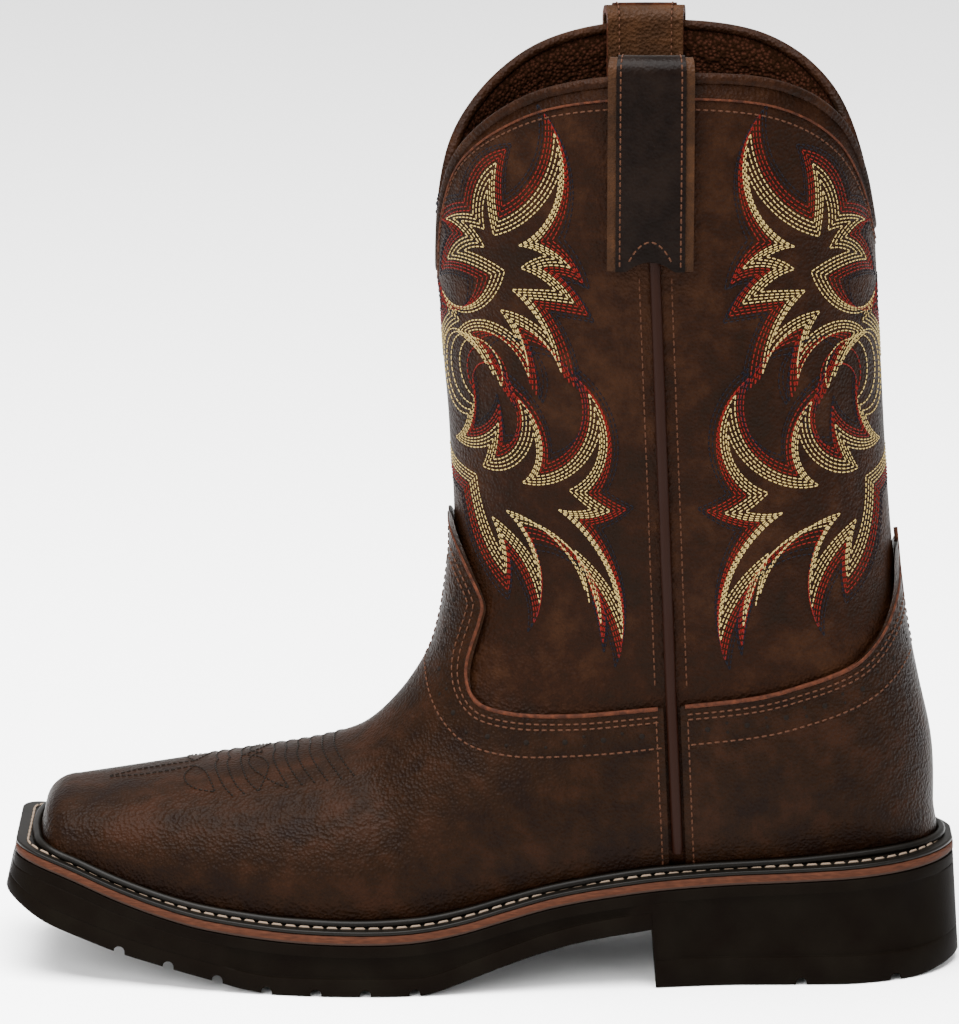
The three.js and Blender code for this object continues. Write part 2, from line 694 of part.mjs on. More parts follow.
// A point of the form found from its place in the side view.
function sidePoint(x, z, side, offset) {
  let low = 0;
  let high = topSection;
  const across = (u) => {
    const row = section(u);
    return (row.frontX - row.backX) * (z - row.backZ) - (row.frontZ - row.backZ) * (x - row.backX);
  };
  for (let k = 0; k < 40; k += 1) {
    const mid = (low + high) / 2;
    if (across(mid) > 0) low = mid;
    else high = mid;
  }
  const u = (low + high) / 2;
  const row = section(u);
  const runX = row.frontX - row.backX;
  const runZ = row.frontZ - row.backZ;
  const h = ((x - row.backX) * runX + (z - row.backZ) * runZ) / (runX ** 2 + runZ ** 2);
  const roof = h > row.widest;
  const along = clamp(roof ? (h - row.widest) / (1 - row.widest) : h / row.widest - 1, -1, 1);
  const power = 2 / (roof ? row.roof : row.floor);
  const angle = Math.acos(Math.sign(along) * Math.abs(along) ** (1 / power));
  const v = side > 0 ? angle / TAU : 1 - angle / TAU;
  return offsetPoint(u, v, offset);
}

// Collar binding: a rolled strip laid on the wall's upper edge.
const bindingSteps = 2 * loopSteps;
const bindingSides = 4;
const bindingLift = bindingRadius + 1.5 * gap;
function binding() {
  const places = [];
  for (let i = 0; i < bindingSteps; i += 1) places.push(loopPlace(Math.floor(i / 2) / loopSteps));
  const edgeRing = places.map((v) => offsetPoint(collarPlace(v), v, -wall / 2));
  const ring = edgeRing.map((p, i) => (i % 2 ? p.clone().lerp(edgeRing[(i + 1) % bindingSteps], 0.5) : p));
  const path = ring.map((p, i) => {
    const normal = formNormal(collarPlace(places[i]), places[i]);
    const away = (a, b) => {
      const up = normal.clone().cross(b.clone().sub(a)).normalize();
      return up.z < 0 ? up.negate() : up;
    };
    const before = away(ring[(i + bindingSteps - 1) % bindingSteps], p);
    const up = away(p, ring[(i + 1) % bindingSteps]).add(before).normalize();
    return p.clone().addScaledVector(up, bindingLift / up.dot(before));
  });
  const shape = new THREE.Shape();
  shape.absarc(0, 0, bindingRadius, 0, TAU, false);
  const geometry = new THREE.ExtrudeGeometry(shape, {
    steps: bindingSteps,
    curveSegments: bindingSides,
    extrudePath: new THREE.CatmullRomCurve3(path, true, 'centripetal'),
    bevelEnabled: false,
  });
  return fromGeometry(geometry);
}

// Pull strap: a doubled leather strip, sewn to the leg outside and inside, looped over the collar.
const strapAt = 0.322;
const strapFoot = 0.763;
const strapInside = 0.87;
const notchHalf = 0.55;      // half width of the arch, as a share of the strap's half width
const strapColumns = 4;
const leafSteps = 6;
const arcSteps = 8;
const innerSteps = 4;
function strap(side) {
  const middle = xAt(strapAt);
  const half = strapThickness / 2;
  const outside = bindingRadius - wall / 2 + 2 * gap + strapEase + half;
  const inside = -bindingRadius - wall / 2 - 2 * gap - half;
  const radius = (outside - inside) / 2;
  const arcZ = legUp(1) + strapLoop - radius - half;
  const path = [];
  for (let k = 0; k < leafSteps; k += 1) path.push({ leaf: 'out', t: k / leafSteps });
  for (let k = 0; k <= arcSteps; k += 1) path.push({ leaf: 'arc', t: k / arcSteps });
  for (let k = 1; k <= innerSteps; k += 1) path.push({ leaf: 'in', t: k / innerSteps });
  const place = (spot, across, away) => {
    const x = middle + across * strapWidth / 2;
    const notch = strapNotch * Math.max(0, 1 - (across / notchHalf) ** 2);
    if (spot.leaf === 'out') {
      return sidePoint(x, THREE.MathUtils.lerp(legUp(strapFoot) + notch, arcZ, spot.t), side, outside + away);
    }
    if (spot.leaf === 'in') {
      return sidePoint(x, THREE.MathUtils.lerp(arcZ, legUp(strapInside), spot.t), side, inside - away);
    }
    const turn = spot.t * Math.PI;
    const offset = (outside + inside) / 2 + (radius + away) * Math.cos(turn);
    return sidePoint(x, arcZ, side, offset).add(new THREE.Vector3(0, 0, (radius + away) * Math.sin(turn)));
  };
  const rings = path.map((spot) => {
    const ring = [];
    for (let i = 0; i <= strapColumns; i += 1) ring.push(place(spot, (2 * i) / strapColumns - 1, half));
    for (let i = strapColumns; i >= 0; i -= 1) ring.push(place(spot, (2 * i) / strapColumns - 1, -half));
    return ring;
  });
  return loft(rings);
}

// Finishes
function leather(colour, roughness) {
  return new THREE.MeshStandardMaterial({ color: colour, roughness, metalness: 0 });
}
const legLeather = leather(0x3b2a1e, 0.55);
const vampLeather = leather(0x35211a, 0.45);
const cordLeather = leather(0x2a1813, 0.35);
const blackRubber = leather(0x141414, 0.6);
const rustRubber = leather(0x6b3a28, 0.7);
const liningCloth = leather(0x3a2a22, 0.9);

const boot = new THREE.Group();
function addPiece(name, made, material) {
  const { vertProperties, triVerts } = made.getMesh();
  const geometry = new THREE.BufferGeometry();
  geometry.setAttribute('position', new THREE.BufferAttribute(new Float32Array(vertProperties), 3));
  geometry.setIndex(new THREE.BufferAttribute(new Uint32Array(triVerts), 1));
  geometry.computeVertexNormals();
  const mesh = new THREE.Mesh(geometry, material);
  mesh.name = name;
  boot.add(mesh);
}
addPiece('outsole', outsole, blackRubber);
addPiece('midsole', midsole, rustRubber);
addPiece('welt', welt, blackRubber);
addPiece('insole', insole, liningCloth);
addPiece('upper', upper, legLeather);
addPiece('vamp', vamp, vampLeather);
addPiece('counter', counter, vampLeather);
addPiece('piping_outer', piping(1), cordLeather);
addPiece('piping_inner', piping(-1), cordLeather);
addPiece('collar_binding', binding(), cordLeather);
addPiece('strap_outer', strap(1), legLeather);
addPiece('strap_inner', strap(-1), legLeather);

export default boot;
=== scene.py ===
import math

import bmesh
import bpy
import numpy as np
from mathutils import Matrix, Vector


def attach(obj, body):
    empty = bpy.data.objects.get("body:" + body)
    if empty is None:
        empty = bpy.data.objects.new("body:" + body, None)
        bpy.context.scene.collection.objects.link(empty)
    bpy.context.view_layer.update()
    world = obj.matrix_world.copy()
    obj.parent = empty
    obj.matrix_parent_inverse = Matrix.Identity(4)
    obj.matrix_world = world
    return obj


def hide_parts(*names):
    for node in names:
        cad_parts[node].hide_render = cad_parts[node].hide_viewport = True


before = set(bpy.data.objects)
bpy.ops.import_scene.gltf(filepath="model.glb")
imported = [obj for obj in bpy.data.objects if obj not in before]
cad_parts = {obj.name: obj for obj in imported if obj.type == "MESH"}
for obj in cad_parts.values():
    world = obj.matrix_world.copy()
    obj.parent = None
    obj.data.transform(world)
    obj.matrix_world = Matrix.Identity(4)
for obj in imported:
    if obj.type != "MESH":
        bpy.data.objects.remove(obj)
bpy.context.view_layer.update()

# Outsole. One moulding of black nitrile rubber: heel, arch and forefoot come out of one mould, with a
# lip, a sunk panel and a tread band round the side, and grooves between the lugs. All sizes in this
# file are millimetres of the last and the sole, +X to the toe, +Y to the outer side.
last_length = 295.6
ball_width = 91
heel_width = 61
heel_centre = 0.16
forefoot_height = 20.6
heel_height = 38.1
gap = 0.3
overlay = 1.6
welt_reach = 8.2
heel_reach = 7.2
midsole_thickness = 3.1
sole_corner = 12
toe_flare = 3.6
side_flare = 1.5
heel_flare = 2.2
tread_band = 6
heel_band = 9.5
flange = 4
side_recess = 1.4
arch_height = 20
toe_spring = 27.5
heel_bevel = 2.4
breast = 0.312
arch_front = 0.575
spring_from = 0.742
lug_groove = 3.6
groove_depth = 2.6
lug_pitch = 16.4
lug_start = 2
lug_count = 7
plain_half = 14
panel_fade = (6, 11)
breast_draft = 2.6


def table(names, *rows):
    """Named columns from given rows."""
    return dict(zip(names.split(), np.array(rows, float).T))


def column(rows, name, x, by="at"):
    """A smooth curve through the rows: the value of one column where another has the value x."""
    places, values = rows[by], rows[name]
    count = len(places)
    before = np.maximum(np.arange(count) - 1, 0)
    after = np.minimum(np.arange(count) + 1, count - 1)
    slope = (values[after] - values[before]) / (places[after] - places[before])
    x = np.asarray(x, float)
    i = np.clip(np.searchsorted(places, x) - 1, 0, count - 2)
    span = places[i + 1] - places[i]
    t = np.clip((x - places[i]) / span, 0, 1)
    start = values[i] * (2 * t**3 - 3 * t**2 + 1) + slope[i] * span * (t**3 - 2 * t**2 + t)
    return start + values[i + 1] * (3 * t**2 - 2 * t**3) + slope[i + 1] * span * (t**3 - t**2)


def smooth(a, b, x):
    """From 0 at a to 1 at b, with soft ends."""
    t = np.clip((np.asarray(x, float) - a) / (b - a), 0, 1)
    return t * t * (3 - 2 * t)


def x_at(share):
    return (share - heel_centre) * last_length


sole_top_rows = table(
    "at rise",
    (-0.04, 1.17), (0.09, 1.06), (0.16, 1), (0.3, 0.9), (0.36, 0.8), (0.43, 0.61), (0.48, 0.4),
    (0.525, 0.19), (0.57, 0.05), (0.62, 0), (0.69, 0.01), (0.75, 0.06), (0.82, 0.2), (0.87, 0.39),
    (0.92, 0.65), (0.97, 0.97), (1.01, 1.2), (1.05, 1.37),
)
plan_rows = table(
    "at outer inner",
    (0, 0.47, 0.47), (0.09, 0.49, 0.49), (0.17, 0.5, 0.49), (0.25, 0.495, 0.455),
    (0.33, 0.47, 0.405), (0.41, 0.43, 0.36), (0.48, 0.435, 0.365), (0.55, 0.462, 0.425),
    (0.62, 0.484, 0.492), (0.69, 0.478, 0.515), (0.75, 0.448, 0.5), (0.84, 0.39, 0.448),
    (0.92, 0.318, 0.372), (0.97, 0.268, 0.324), (1.04, 0.2, 0.26),
)
arch_rows = table(
    "at up",
    (0.31, 1.01), (0.38, 0.86), (0.436, 0.67), (0.483, 0.45), (0.52, 0.25), (0.554, 0.07),
    (arch_front, 0),
)
spring_rows = table(
    "at up",
    (spring_from, 0), (0.775, 0.05), (0.807, 0.13), (0.849, 0.23), (0.91, 0.39), (0.95, 0.53),
    (1, 0.73), (1.046, 1),
)


def sole_top(x):
    return forefoot_height + (heel_height - forefoot_height) * column(
        sole_top_rows, "rise", x / last_length + heel_centre
    )


def tread(x):
    """Underside of the sole above the floor."""
    at = x / last_length + heel_centre
    heel = heel_bevel * smooth(0.02, -0.04, at)
    arch = arch_height * column(arch_rows, "up", at)
    spring = toe_spring * column(spring_rows, "up", np.minimum(at, 1.046))
    return np.select([at < breast, at < arch_front, at < spring_from], [heel, arch, 0 * at], spring)


def plan_half(x, side):
    at = x / last_length + heel_centre
    width = heel_width + (ball_width - heel_width) * smooth(0.2, 0.5, at)
    return width * column(plan_rows, side, at)


sole_back = x_at(0) - overlay - gap - heel_reach
sole_front = x_at(1) + overlay + gap + welt_reach
heel_turn = x_at(0.11)
heel_flat = 0.12


def plan_spot(s, across, grow):
    """A place on the sole's plan: s from 0 at the heel's back over 1 and 2 to 3 at the toe's front,
    across from -1 at the inner edge to 1 at the outer one, on an outline grown by grow."""
    corner = np.maximum(sole_corner + grow, 2)
    corner_start = sole_front + grow - corner
    heel_angle = (heel_flat + (1 - heel_flat) * np.clip(s, 0, 1)) * math.pi / 2
    toe_angle = np.clip(s - 2, 0, 1) * math.pi / 2
    heel_x = heel_turn - (heel_turn - sole_back + grow) * np.cos(heel_angle)
    side_x = heel_turn + (corner_start - heel_turn) * (s - 1)
    toe_x = corner_start + corner * np.sin(toe_angle)
    x = np.select([s < 1, s < 2], [heel_x, side_x], toe_x)
    near = np.clip(x, x_at(0.06), x_at(1.04))
    reach = overlay + gap + heel_reach + (welt_reach - heel_reach) * smooth(0, last_length / 3, near)
    round_off = np.where(s < 1, np.sin(heel_angle), 1)
    tuck = corner * (1 - np.cos(toe_angle))
    outer = (plan_half(near, "outer") + reach + grow) * round_off - tuck
    inner = (plan_half(near, "inner") + reach + grow) * round_off - tuck
    return x, -inner + (outer + inner) * (across + 1) / 2


def grid(columns, rows, shape):
    """A sheet of columns by rows laid on a surface, which shape gives for two places from 0 to 1."""
    bm = bmesh.new()
    bmesh.ops.create_grid(bm, x_segments=columns, y_segments=rows, size=0.5)
    flat = np.array([vert.co for vert in bm.verts]) + 0.5
    for vert, spot in zip(bm.verts, np.column_stack(shape(flat[:, 0], flat[:, 1]))):
        vert.co = spot
    return bm


# Stations along the sole lie close at the heel and the toe, with one at each end of the breast.
sole_steps = ((0, 1, 26), (1, 2, 120), (2, 3, 12))
stations = np.concatenate(
    [np.linspace(a, b, n, endpoint=False) for a, b, n in sole_steps] + [np.array([3.0])]
)
breast_x = x_at(breast)
side_length = sole_front - sole_corner - heel_turn
breast_ends = (breast_x - 0.2, breast_x + breast_draft)
breast_stations = [1 + (x - heel_turn) / side_length for x in breast_ends]
stations = np.sort(np.append(stations, breast_stations))


def slab(levels, columns_across=10):
    """A closed piece of the sole. Each level, from the underside up, is an outline's growth and a
    height, both for a place x."""
    bm = bmesh.new()
    bmesh.ops.create_grid(bm, x_segments=len(stations) - 1, y_segments=columns_across, size=0.5)
    faces = bm.faces[:]
    for k in range(len(levels) - 1):
        below = faces
        raised = bmesh.ops.extrude_face_region(bm, geom=below, use_keep_orig=True)["geom"]
        faces = [item for item in raised if isinstance(item, bmesh.types.BMFace)]
        verts = [item for item in raised if isinstance(item, bmesh.types.BMVert)]
        bmesh.ops.translate(bm, verts=verts, vec=(0, 0, 1))
        if k:
            bmesh.ops.delete(bm, geom=below, context="FACES")
    flat = np.array([vert.co for vert in bm.verts])
    s = np.interp(flat[:, 0] + 0.5, np.linspace(0, 1, len(stations)), stations)
    level = np.rint(flat[:, 2]).astype(int)
    x0 = plan_spot(s, 0 * s, 0 * s)[0]
    grow = np.select([level == k for k in range(len(levels))], [g(x0) + 0 * x0 for g, _ in levels])
    x, y = plan_spot(s, flat[:, 1] * 2, grow)
    z = np.select([level == k for k in range(len(levels))], [h(x) + 0 * x for _, h in levels])
    for vert, spot in zip(bm.verts, np.column_stack((x, y, z))):
        vert.co = spot
    bmesh.ops.recalc_face_normals(bm, faces=bm.faces)
    return bm


def outsole_top(x):
    return sole_top(x) - midsole_thickness - gap


def flare(x):
    toe = (toe_flare - side_flare) * smooth(x_at(0.85), x_at(1), x)
    return side_flare + toe + (heel_flare - side_flare) * smooth(x_at(0.06), x_at(-0.02), x)


def band(x):
    return np.where(x < breast_x, heel_band, tread_band)


def lip(x):
    return np.maximum(outsole_top(x) - flange, tread(x) + band(x) + 1)


def grown(x, z):
    """The side leans outwards from the midsole down to the tread."""
    return flare(x) * np.clip((outsole_top(x) - z) / (outsole_top(x) - tread(x)), 0, 1)


def panel(x):
    """1 where the side is sunk, 0 at the breast of the heel, at the toe and at the heel's back."""
    ends = smooth(x_at(0.8), x_at(0.78), x) * smooth(x_at(-0.02), x_at(0.02), x)
    return ends * smooth(*panel_fade, np.abs(x - breast_x))


def side_level(height, sunk=0.0, trim=0.0):
    """A level of the outsole's side: its height, its share of the panel's depth, and how far its
    edge is trimmed back."""

    def grow(x):
        return grown(x, height(x)) - side_recess * sunk * panel(x) - trim

    return grow, height


levels = [
    side_level(tread, trim=1.3),
    side_level(lambda x: tread(x) + 0.35, trim=0.45),
    side_level(lambda x: tread(x) + 1.2),
    side_level(lambda x: tread(x) + band(x) - 0.4),
    side_level(lambda x: tread(x) + band(x), trim=0.15),
    side_level(lambda x: tread(x) + band(x) + 0.25, sunk=0.85),
    side_level(lambda x: tread(x) + band(x) + 0.7, sunk=1),
    side_level(lambda x: lip(x) - 0.5, sunk=1),
    side_level(lambda x: lip(x), sunk=0.85),
    side_level(lambda x: lip(x) + 0.2, trim=0.15),
    side_level(lambda x: lip(x) + 0.6),
    side_level(lambda x: outsole_top(x) - 0.3),
    side_level(outsole_top, trim=0.3),
]


def linear(code):
    """A colour given as an sRGB hex value, as the linear one that Blender takes."""
    values = [int(code[i : i + 2], 16) / 255 for i in (0, 2, 4)]
    bright = [v / 12.92 if v <= 0.04045 else ((v + 0.055) / 1.055) ** 2.4 for v in values]
    return (*bright, 1.0)


def surface(name):
    """A new material; its shader is its only node beside the output."""
    material = bpy.data.materials.new(name)
    material.use_nodes = True
    return material


def add(material, kind, inputs=None, stops=(), **settings):
    """Adds a node with its settings, its inputs, which are values or other nodes' outputs, and a
    colour ramp's stops, which are places with sRGB hex colours."""
    node = material.node_tree.nodes.new("ShaderNode" + kind)
    for name, value in settings.items():
        setattr(node, name, value)
    for name, value in (inputs or {}).items():
        if isinstance(value, bpy.types.NodeSocket):
            material.node_tree.links.new(value, node.inputs[name])
        else:
            node.inputs[name].default_value = value
    if stops:
        points = node.color_ramp.elements
        while len(points) < len(stops):
            points.new(0.5)
        for point, (position, code) in zip(points, stops):
            point.position = position
            point.color = linear(code)
    return node


def shade(material, **inputs):
    """Sets the shader's own sockets: plain names with _ for a space."""
    shader = material.node_tree.nodes["Principled BSDF"]
    for name, value in inputs.items():
        socket = shader.inputs[name.replace("_", " ")]
        if isinstance(value, bpy.types.NodeSocket):
            material.node_tree.links.new(value, socket)
        else:
            socket.default_value = value


def scale_for(width):
    """A texture's scale at which its grains are so many millimetres wide."""
    return 1000 / width


# Nitrile rubber, moulded: an even, dull black with a faint bloom. The mould's grain of 0.2 mm is
# drawn 0.7 mm wide, so that it shows. The specular level is low here and below, because the render
# lifts dark tones, and a full one would lay a grey veil over them.
rubber_grain = 0.714
rubber_bloom = 16.67
nitrile = surface("nitrile rubber, black, moulded")
place = add(nitrile, "TexCoord").outputs["Object"]
fine = {"Vector": place, "Scale": scale_for(rubber_grain), "Detail": 3.0}
broad = {"Vector": place, "Scale": scale_for(rubber_bloom), "Detail": 4.0}
grain = add(nitrile, "TexNoise", fine).outputs["Fac"]
cloud = add(nitrile, "TexNoise", broad).outputs["Fac"]
colour = add(nitrile, "ValToRGB", {"Fac": cloud}, ((0.3, "050302"), (0.7, "080604")))
gloss = add(nitrile, "MapRange", {"Value": cloud, "To Min": 0.5, "To Max": 0.66})
bumps = add(nitrile, "Bump", {"Height": grain, "Distance": 0.0002, "Strength": 0.35})
shade(
    nitrile,
    Base_Color=colour.outputs["Color"],
    Specular_IOR_Level=0.008,
    Roughness=gloss.outputs["Result"],
    Normal=bumps.outputs["Normal"],
)


def piece(name, bm, *materials, sharp=None):
    """A finished piece from a bmesh in millimetres, smooth shaded, its place in its mesh."""
    mesh = bpy.data.meshes.new(name)
    bm.to_mesh(mesh)
    bm.free()
    mesh.transform(Matrix.Scale(0.001, 4))
    mesh.shade_smooth()
    if sharp:
        mesh.set_sharp_from_angle(angle=math.radians(sharp))
    for material in materials:
        mesh.materials.append(material)
    made = bpy.data.objects.new(name, mesh)
    bpy.context.scene.collection.objects.link(made)
    return made


def settle(made):
    """Applies a piece's modifiers to its mesh."""
    graph = bpy.context.evaluated_depsgraph_get()
    mesh = bpy.data.meshes.new_from_object(made.evaluated_get(graph))
    made.modifiers.clear()
    made.data = mesh
    return made


def cut(made, cutter, operation):
    """Cuts a piece with another, or keeps what both share, and removes the cutter."""
    knife = made.modifiers.new("cut", "BOOLEAN")
    knife.operation = operation
    knife.solver = "MANIFOLD"
    knife.object = cutter
    settle(made)
    bpy.data.objects.remove(cutter)
    return made


outsole = piece("sole_outsole", slab(levels), nitrile)

# The grooves: a round-topped block for each, from either side in to the plain middle.
slots = bmesh.new()
groove_round = lug_groove * 0.49
groove_places = [x_at(0.04), x_at(0.147)]
groove_places += [x_at(arch_front) + lug_start + k * lug_pitch for k in range(lug_count)]
for x in groove_places:
    for side in (-1, 1):
        block = bmesh.ops.create_cube(slots, size=1)["verts"]
        length = ball_width - plain_half
        bmesh.ops.scale(slots, vec=(lug_groove, length, 2 * groove_depth), verts=block)
        middle = side * (plain_half + length / 2)
        bmesh.ops.translate(slots, vec=(x, middle, float(tread(np.array([x]))[0])), verts=block)
upper_edges = [
    edge
    for edge in slots.edges
    if abs(edge.verts[0].co.x - edge.verts[1].co.x) < 0.1
    and abs(edge.verts[0].co.z - edge.verts[1].co.z) < 0.1
    and edge.calc_length() > lug_groove + 0.1
    and edge.verts[0].co.z > float(tread(np.array([edge.verts[0].co.x]))[0])
]
bmesh.ops.bevel(
    slots, geom=upper_edges, offset=groove_round, segments=6, profile=0.5, affect="EDGES", material=-1,
)
cut(outsole, piece("slots", slots), "DIFFERENCE")
outsole.data.set_sharp_from_angle(angle=math.radians(38))
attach(outsole, "root")
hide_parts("outsole")

# Midsole. A rust-brown strip of rubber-bound leather fibre, cut flush and sanded at its edge, with a
# thin dark filler sheet under it, both cemented between the welt and the outsole.
filler = 0.8
edge_round = 0.35

# Leather fibre board, sanded: a dry rust brown with flecks of 3 mm drawn out along the edge.
fleck_width = 3.125
midsole_fibre = surface("leather fibre board, rust brown, sanded")
place = add(midsole_fibre, "TexCoord").outputs["Object"]
flat = add(midsole_fibre, "Mapping", {"Vector": place, "Scale": (1.0, 1.0, 7.0)}).outputs["Vector"]
flecks = {"Vector": flat, "Scale": scale_for(fleck_width), "Detail": 6.0}
fleck = add(midsole_fibre, "TexNoise", flecks).outputs["Fac"]
colour = add(
    midsole_fibre, "ValToRGB", {"Fac": fleck}, ((0.3, "1f0e07"), (0.55, "2b150b"), (0.75, "341c11")),
)
bumps = add(midsole_fibre, "Bump", {"Height": fleck, "Distance": 0.0003, "Strength": 0.4})
shade(
    midsole_fibre,
    Base_Color=colour.outputs["Color"],
    Roughness=0.72,
    Specular_IOR_Level=0.05,
    Normal=bumps.outputs["Normal"],
)

# Pressed fibre: a flat dark line under the rust band.
filler_sheet = surface("filler sheet, pressed fibre, dark brown")
shade(filler_sheet, Base_Color=linear("1f1612"), Roughness=0.7, Specular_IOR_Level=0.03)


def under_midsole(x):
    return sole_top(x) - midsole_thickness


midsole = piece(
    "sole_midsole",
    slab(
        [
            (lambda x: -edge_round, under_midsole),
            (lambda x: 0, lambda x: under_midsole(x) + edge_round),
            (lambda x: 0, lambda x: under_midsole(x) + filler),
            (lambda x: 0.05, lambda x: under_midsole(x) + midsole_thickness / 2),
            (lambda x: 0, lambda x: sole_top(x) - edge_round),
            (lambda x: -edge_round, sole_top),
        ],
        2,
    ),
    midsole_fibre,
    filler_sheet,
)
for face in midsole.data.polygons:
    spot = face.center * 1000
    if spot.z < under_midsole(spot.x) + filler:
        face.material_index = 1
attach(midsole, "root")
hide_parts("midsole")

# Upper. The leg is oiled pull-up leather over a woven lining, lasted under the foot. It is one sheet
# here, laid over the last's sections, which lie like pages of a half-open book from toe to collar.
throat_rise = 110
leg_rise = 271
leg_breadth = 109
wall = 2.4
toe_round = 9
toe_corner = 11
toe_drop = 7
toe_dome = 1.5
foot_sink = 12
binding_radius = 1.9
binding_seat = 0.6

foot_rows = table(
    "top rise under swell widest roof floor ridge",
    (0.967, 0.326, 0.967, 1.05, 0.55, 2.5, 3.2, -0.04),
    (0.911, 0.348, 0.918, 1.06, 0.52, 2.4, 3.2, -0.045),
    (0.837, 0.379, 0.854, 1.06, 0.49, 2.25, 3.1, -0.05),
    (0.762, 0.414, 0.789, 1.06, 0.46, 2.1, 3, -0.05),
    (0.701, 0.445, 0.722, 1.05, 0.43, 2, 3, -0.045),
    (0.659, 0.478, 0.647, 1.05, 0.42, 1.95, 2.9, -0.04),
    (0.632, 0.52, 0.566, 1.06, 0.42, 1.9, 2.8, -0.03),
    (0.607, 0.584, 0.481, 1.12, 0.43, 1.9, 2.6, -0.02),
    (0.583, 0.666, 0.39, 1.22, 0.45, 1.9, 2.45, -0.01),
    (0.56, 0.775, 0.289, 1.27, 0.48, 1.95, 2.4, 0),
    (0.548, 0.889, 0.187, 1.29, 0.5, 2, 2.4, 0),
    (0.542, 0.994, 0.086, 1.32, 0.52, 2, 2.3, 0),
)
leg_rows = table(
    "front front_up back back_up half floor",
    (0.538, 0.378, 0.003, 0, 0.363, 2.1),
    (0.538, 0.411, 0, 0.057, 0.37, 2.05),
    (0.539, 0.452, 0.003, 0.134, 0.38, 2),
    (0.542, 0.5, 0.019, 0.215, 0.395, 2),
    (0.545, 0.555, 0.034, 0.297, 0.413, 2),
    (0.55, 0.618, 0.044, 0.385, 0.432, 2),
    (0.554, 0.684, 0.052, 0.489, 0.452, 2),
    (0.559, 0.765, 0.058, 0.596, 0.47, 2),
    (0.561, 0.854, 0.064, 0.706, 0.485, 2),
    (0.56, 0.935, 0.069, 0.824, 0.495, 2),
    (0.559, 1.05, 0.073, 1.05, 0.5, 2),
)


def leg_up(share):
    return heel_height + gap + share * leg_rise


foot_count = len(foot_rows["top"])
under_x = x_at(foot_rows["under"])
plain = np.ones(len(leg_rows["front"]))
sections = {
    "front_x": np.append(x_at(foot_rows["top"]), x_at(leg_rows["front"])),
    "front_z": np.append(
        forefoot_height + foot_rows["rise"] * throat_rise, leg_up(leg_rows["front_up"])
    ),
    "back_x": np.append(under_x, x_at(leg_rows["back"])),
    "back_z": np.append(sole_top(under_x) - foot_sink, leg_up(leg_rows["back_up"])),
    "outer": np.append(plan_half(under_x, "outer") * foot_rows["swell"], leg_rows["half"] * leg_breadth),
    "inner": np.append(plan_half(under_x, "inner") * foot_rows["swell"], leg_rows["half"] * leg_breadth),
    "widest": np.append(foot_rows["widest"], 0.5 * plain),
    "roof": np.append(foot_rows["roof"], 2 * plain),
    "floor": np.append(foot_rows["floor"], leg_rows["floor"]),
    "ridge": np.append(foot_rows["ridge"] * ball_width, 0 * plain),
}
section_names = list(sections)
sections["at"] = np.arange(len(sections["roof"]))
top_section = len(sections["at"]) - 1


def section(u):
    """One section at a place u along the rows; from 0 down to -1 they run over the toe's rounding."""
    row = {name: column(sections, name, np.maximum(u, 0)) for name in section_names}
    turn = (1 + np.clip(u, -1, 0)) * math.pi / 2
    inset = 1 - np.sin(turn)
    reach = toe_round * np.cos(turn)
    row["front_x"] = row["front_x"] + reach
    row["back_x"] = row["back_x"] + reach
    row["front_z"] = row["front_z"] - toe_drop * inset
    row["back_z"] = row["back_z"] + toe_drop * inset
    row["outer"] = row["outer"] - toe_corner * inset
    row["inner"] = row["inner"] - toe_corner * inset
    return row


def form(u, v):
    """A point of the last's form: v goes once round, from the front line over the outer side."""
    row = section(u)
    c = np.cos(v * 2 * math.pi)
    s = np.sin(v * 2 * math.pi)
    power = 2 / np.where(c > 0, row["roof"], row["floor"])
    along = np.sign(c) * np.abs(c) ** power
    across = np.sign(s) * np.abs(s) ** power
    h = np.where(c > 0, row["widest"] + (1 - row["widest"]) * along, row["widest"] * (1 + along))
    half = np.where(s > 0, row["outer"], row["inner"])
    x = row["back_x"] + (row["front_x"] - row["back_x"]) * h
    y = half * across + row["ridge"] * np.maximum(along, 0)
    z = row["back_z"] + (row["front_z"] - row["back_z"]) * h
    return np.stack((x, y, z), -1)


def unit(vectors):
    return vectors / np.linalg.norm(vectors, axis=-1, keepdims=True)


def normal(u, v):
    along = form(np.minimum(u + 0.02, top_section), v) - form(np.maximum(u - 0.02, -1), v)
    around = form(u, v + 0.004) - form(u, v - 0.004)
    return unit(np.cross(around, along))


# Creases of wear, each a soft trough from one place in the side view to another: side, start x
# and z, end x and z, width and depth.
creases = (
    (1, 96, 118, 62, 108, 8, 0.9), (1, 92, 98, 58, 92, 7, 0.7), (1, 40, 128, 8, 120, 9, 0.7),
    (1, 30, 108, -6, 104, 8, 0.6), (1, 112, 84, 84, 76, 8, 0.7), (1, 140, 66, 128, 48, 7, 0.5),
    (1, 74, 172, 44, 166, 12, 0.6), (1, 10, 178, -14, 186, 11, 0.6), (-1, 98, 116, 60, 110, 8, 0.9),
    (-1, 90, 98, 60, 94, 7, 0.7), (-1, 36, 128, 4, 122, 9, 0.7), (-1, 114, 84, 82, 78, 8, 0.7),
    (-1, 70, 176, 40, 170, 12, 0.6),
)


def relief(spots):
    """Depth of the creases at places on the form, below zero."""
    deep = 0 * spots[..., 0]
    for side, x0, z0, x1, z1, width, depth in creases:
        run = np.array([x1 - x0, z1 - z0])
        from_start = np.stack((spots[..., 0] - x0, spots[..., 2] - z0), -1)
        share = np.clip(from_start @ run / (run @ run), 0, 1)
        away = np.linalg.norm(from_start - share[..., None] * run, axis=-1)
        near_side = 0.5 + 0.5 * np.tanh(side * spots[..., 1] / 12)
        deep = deep - depth * near_side * np.exp(-((away / width) ** 2))
    return deep


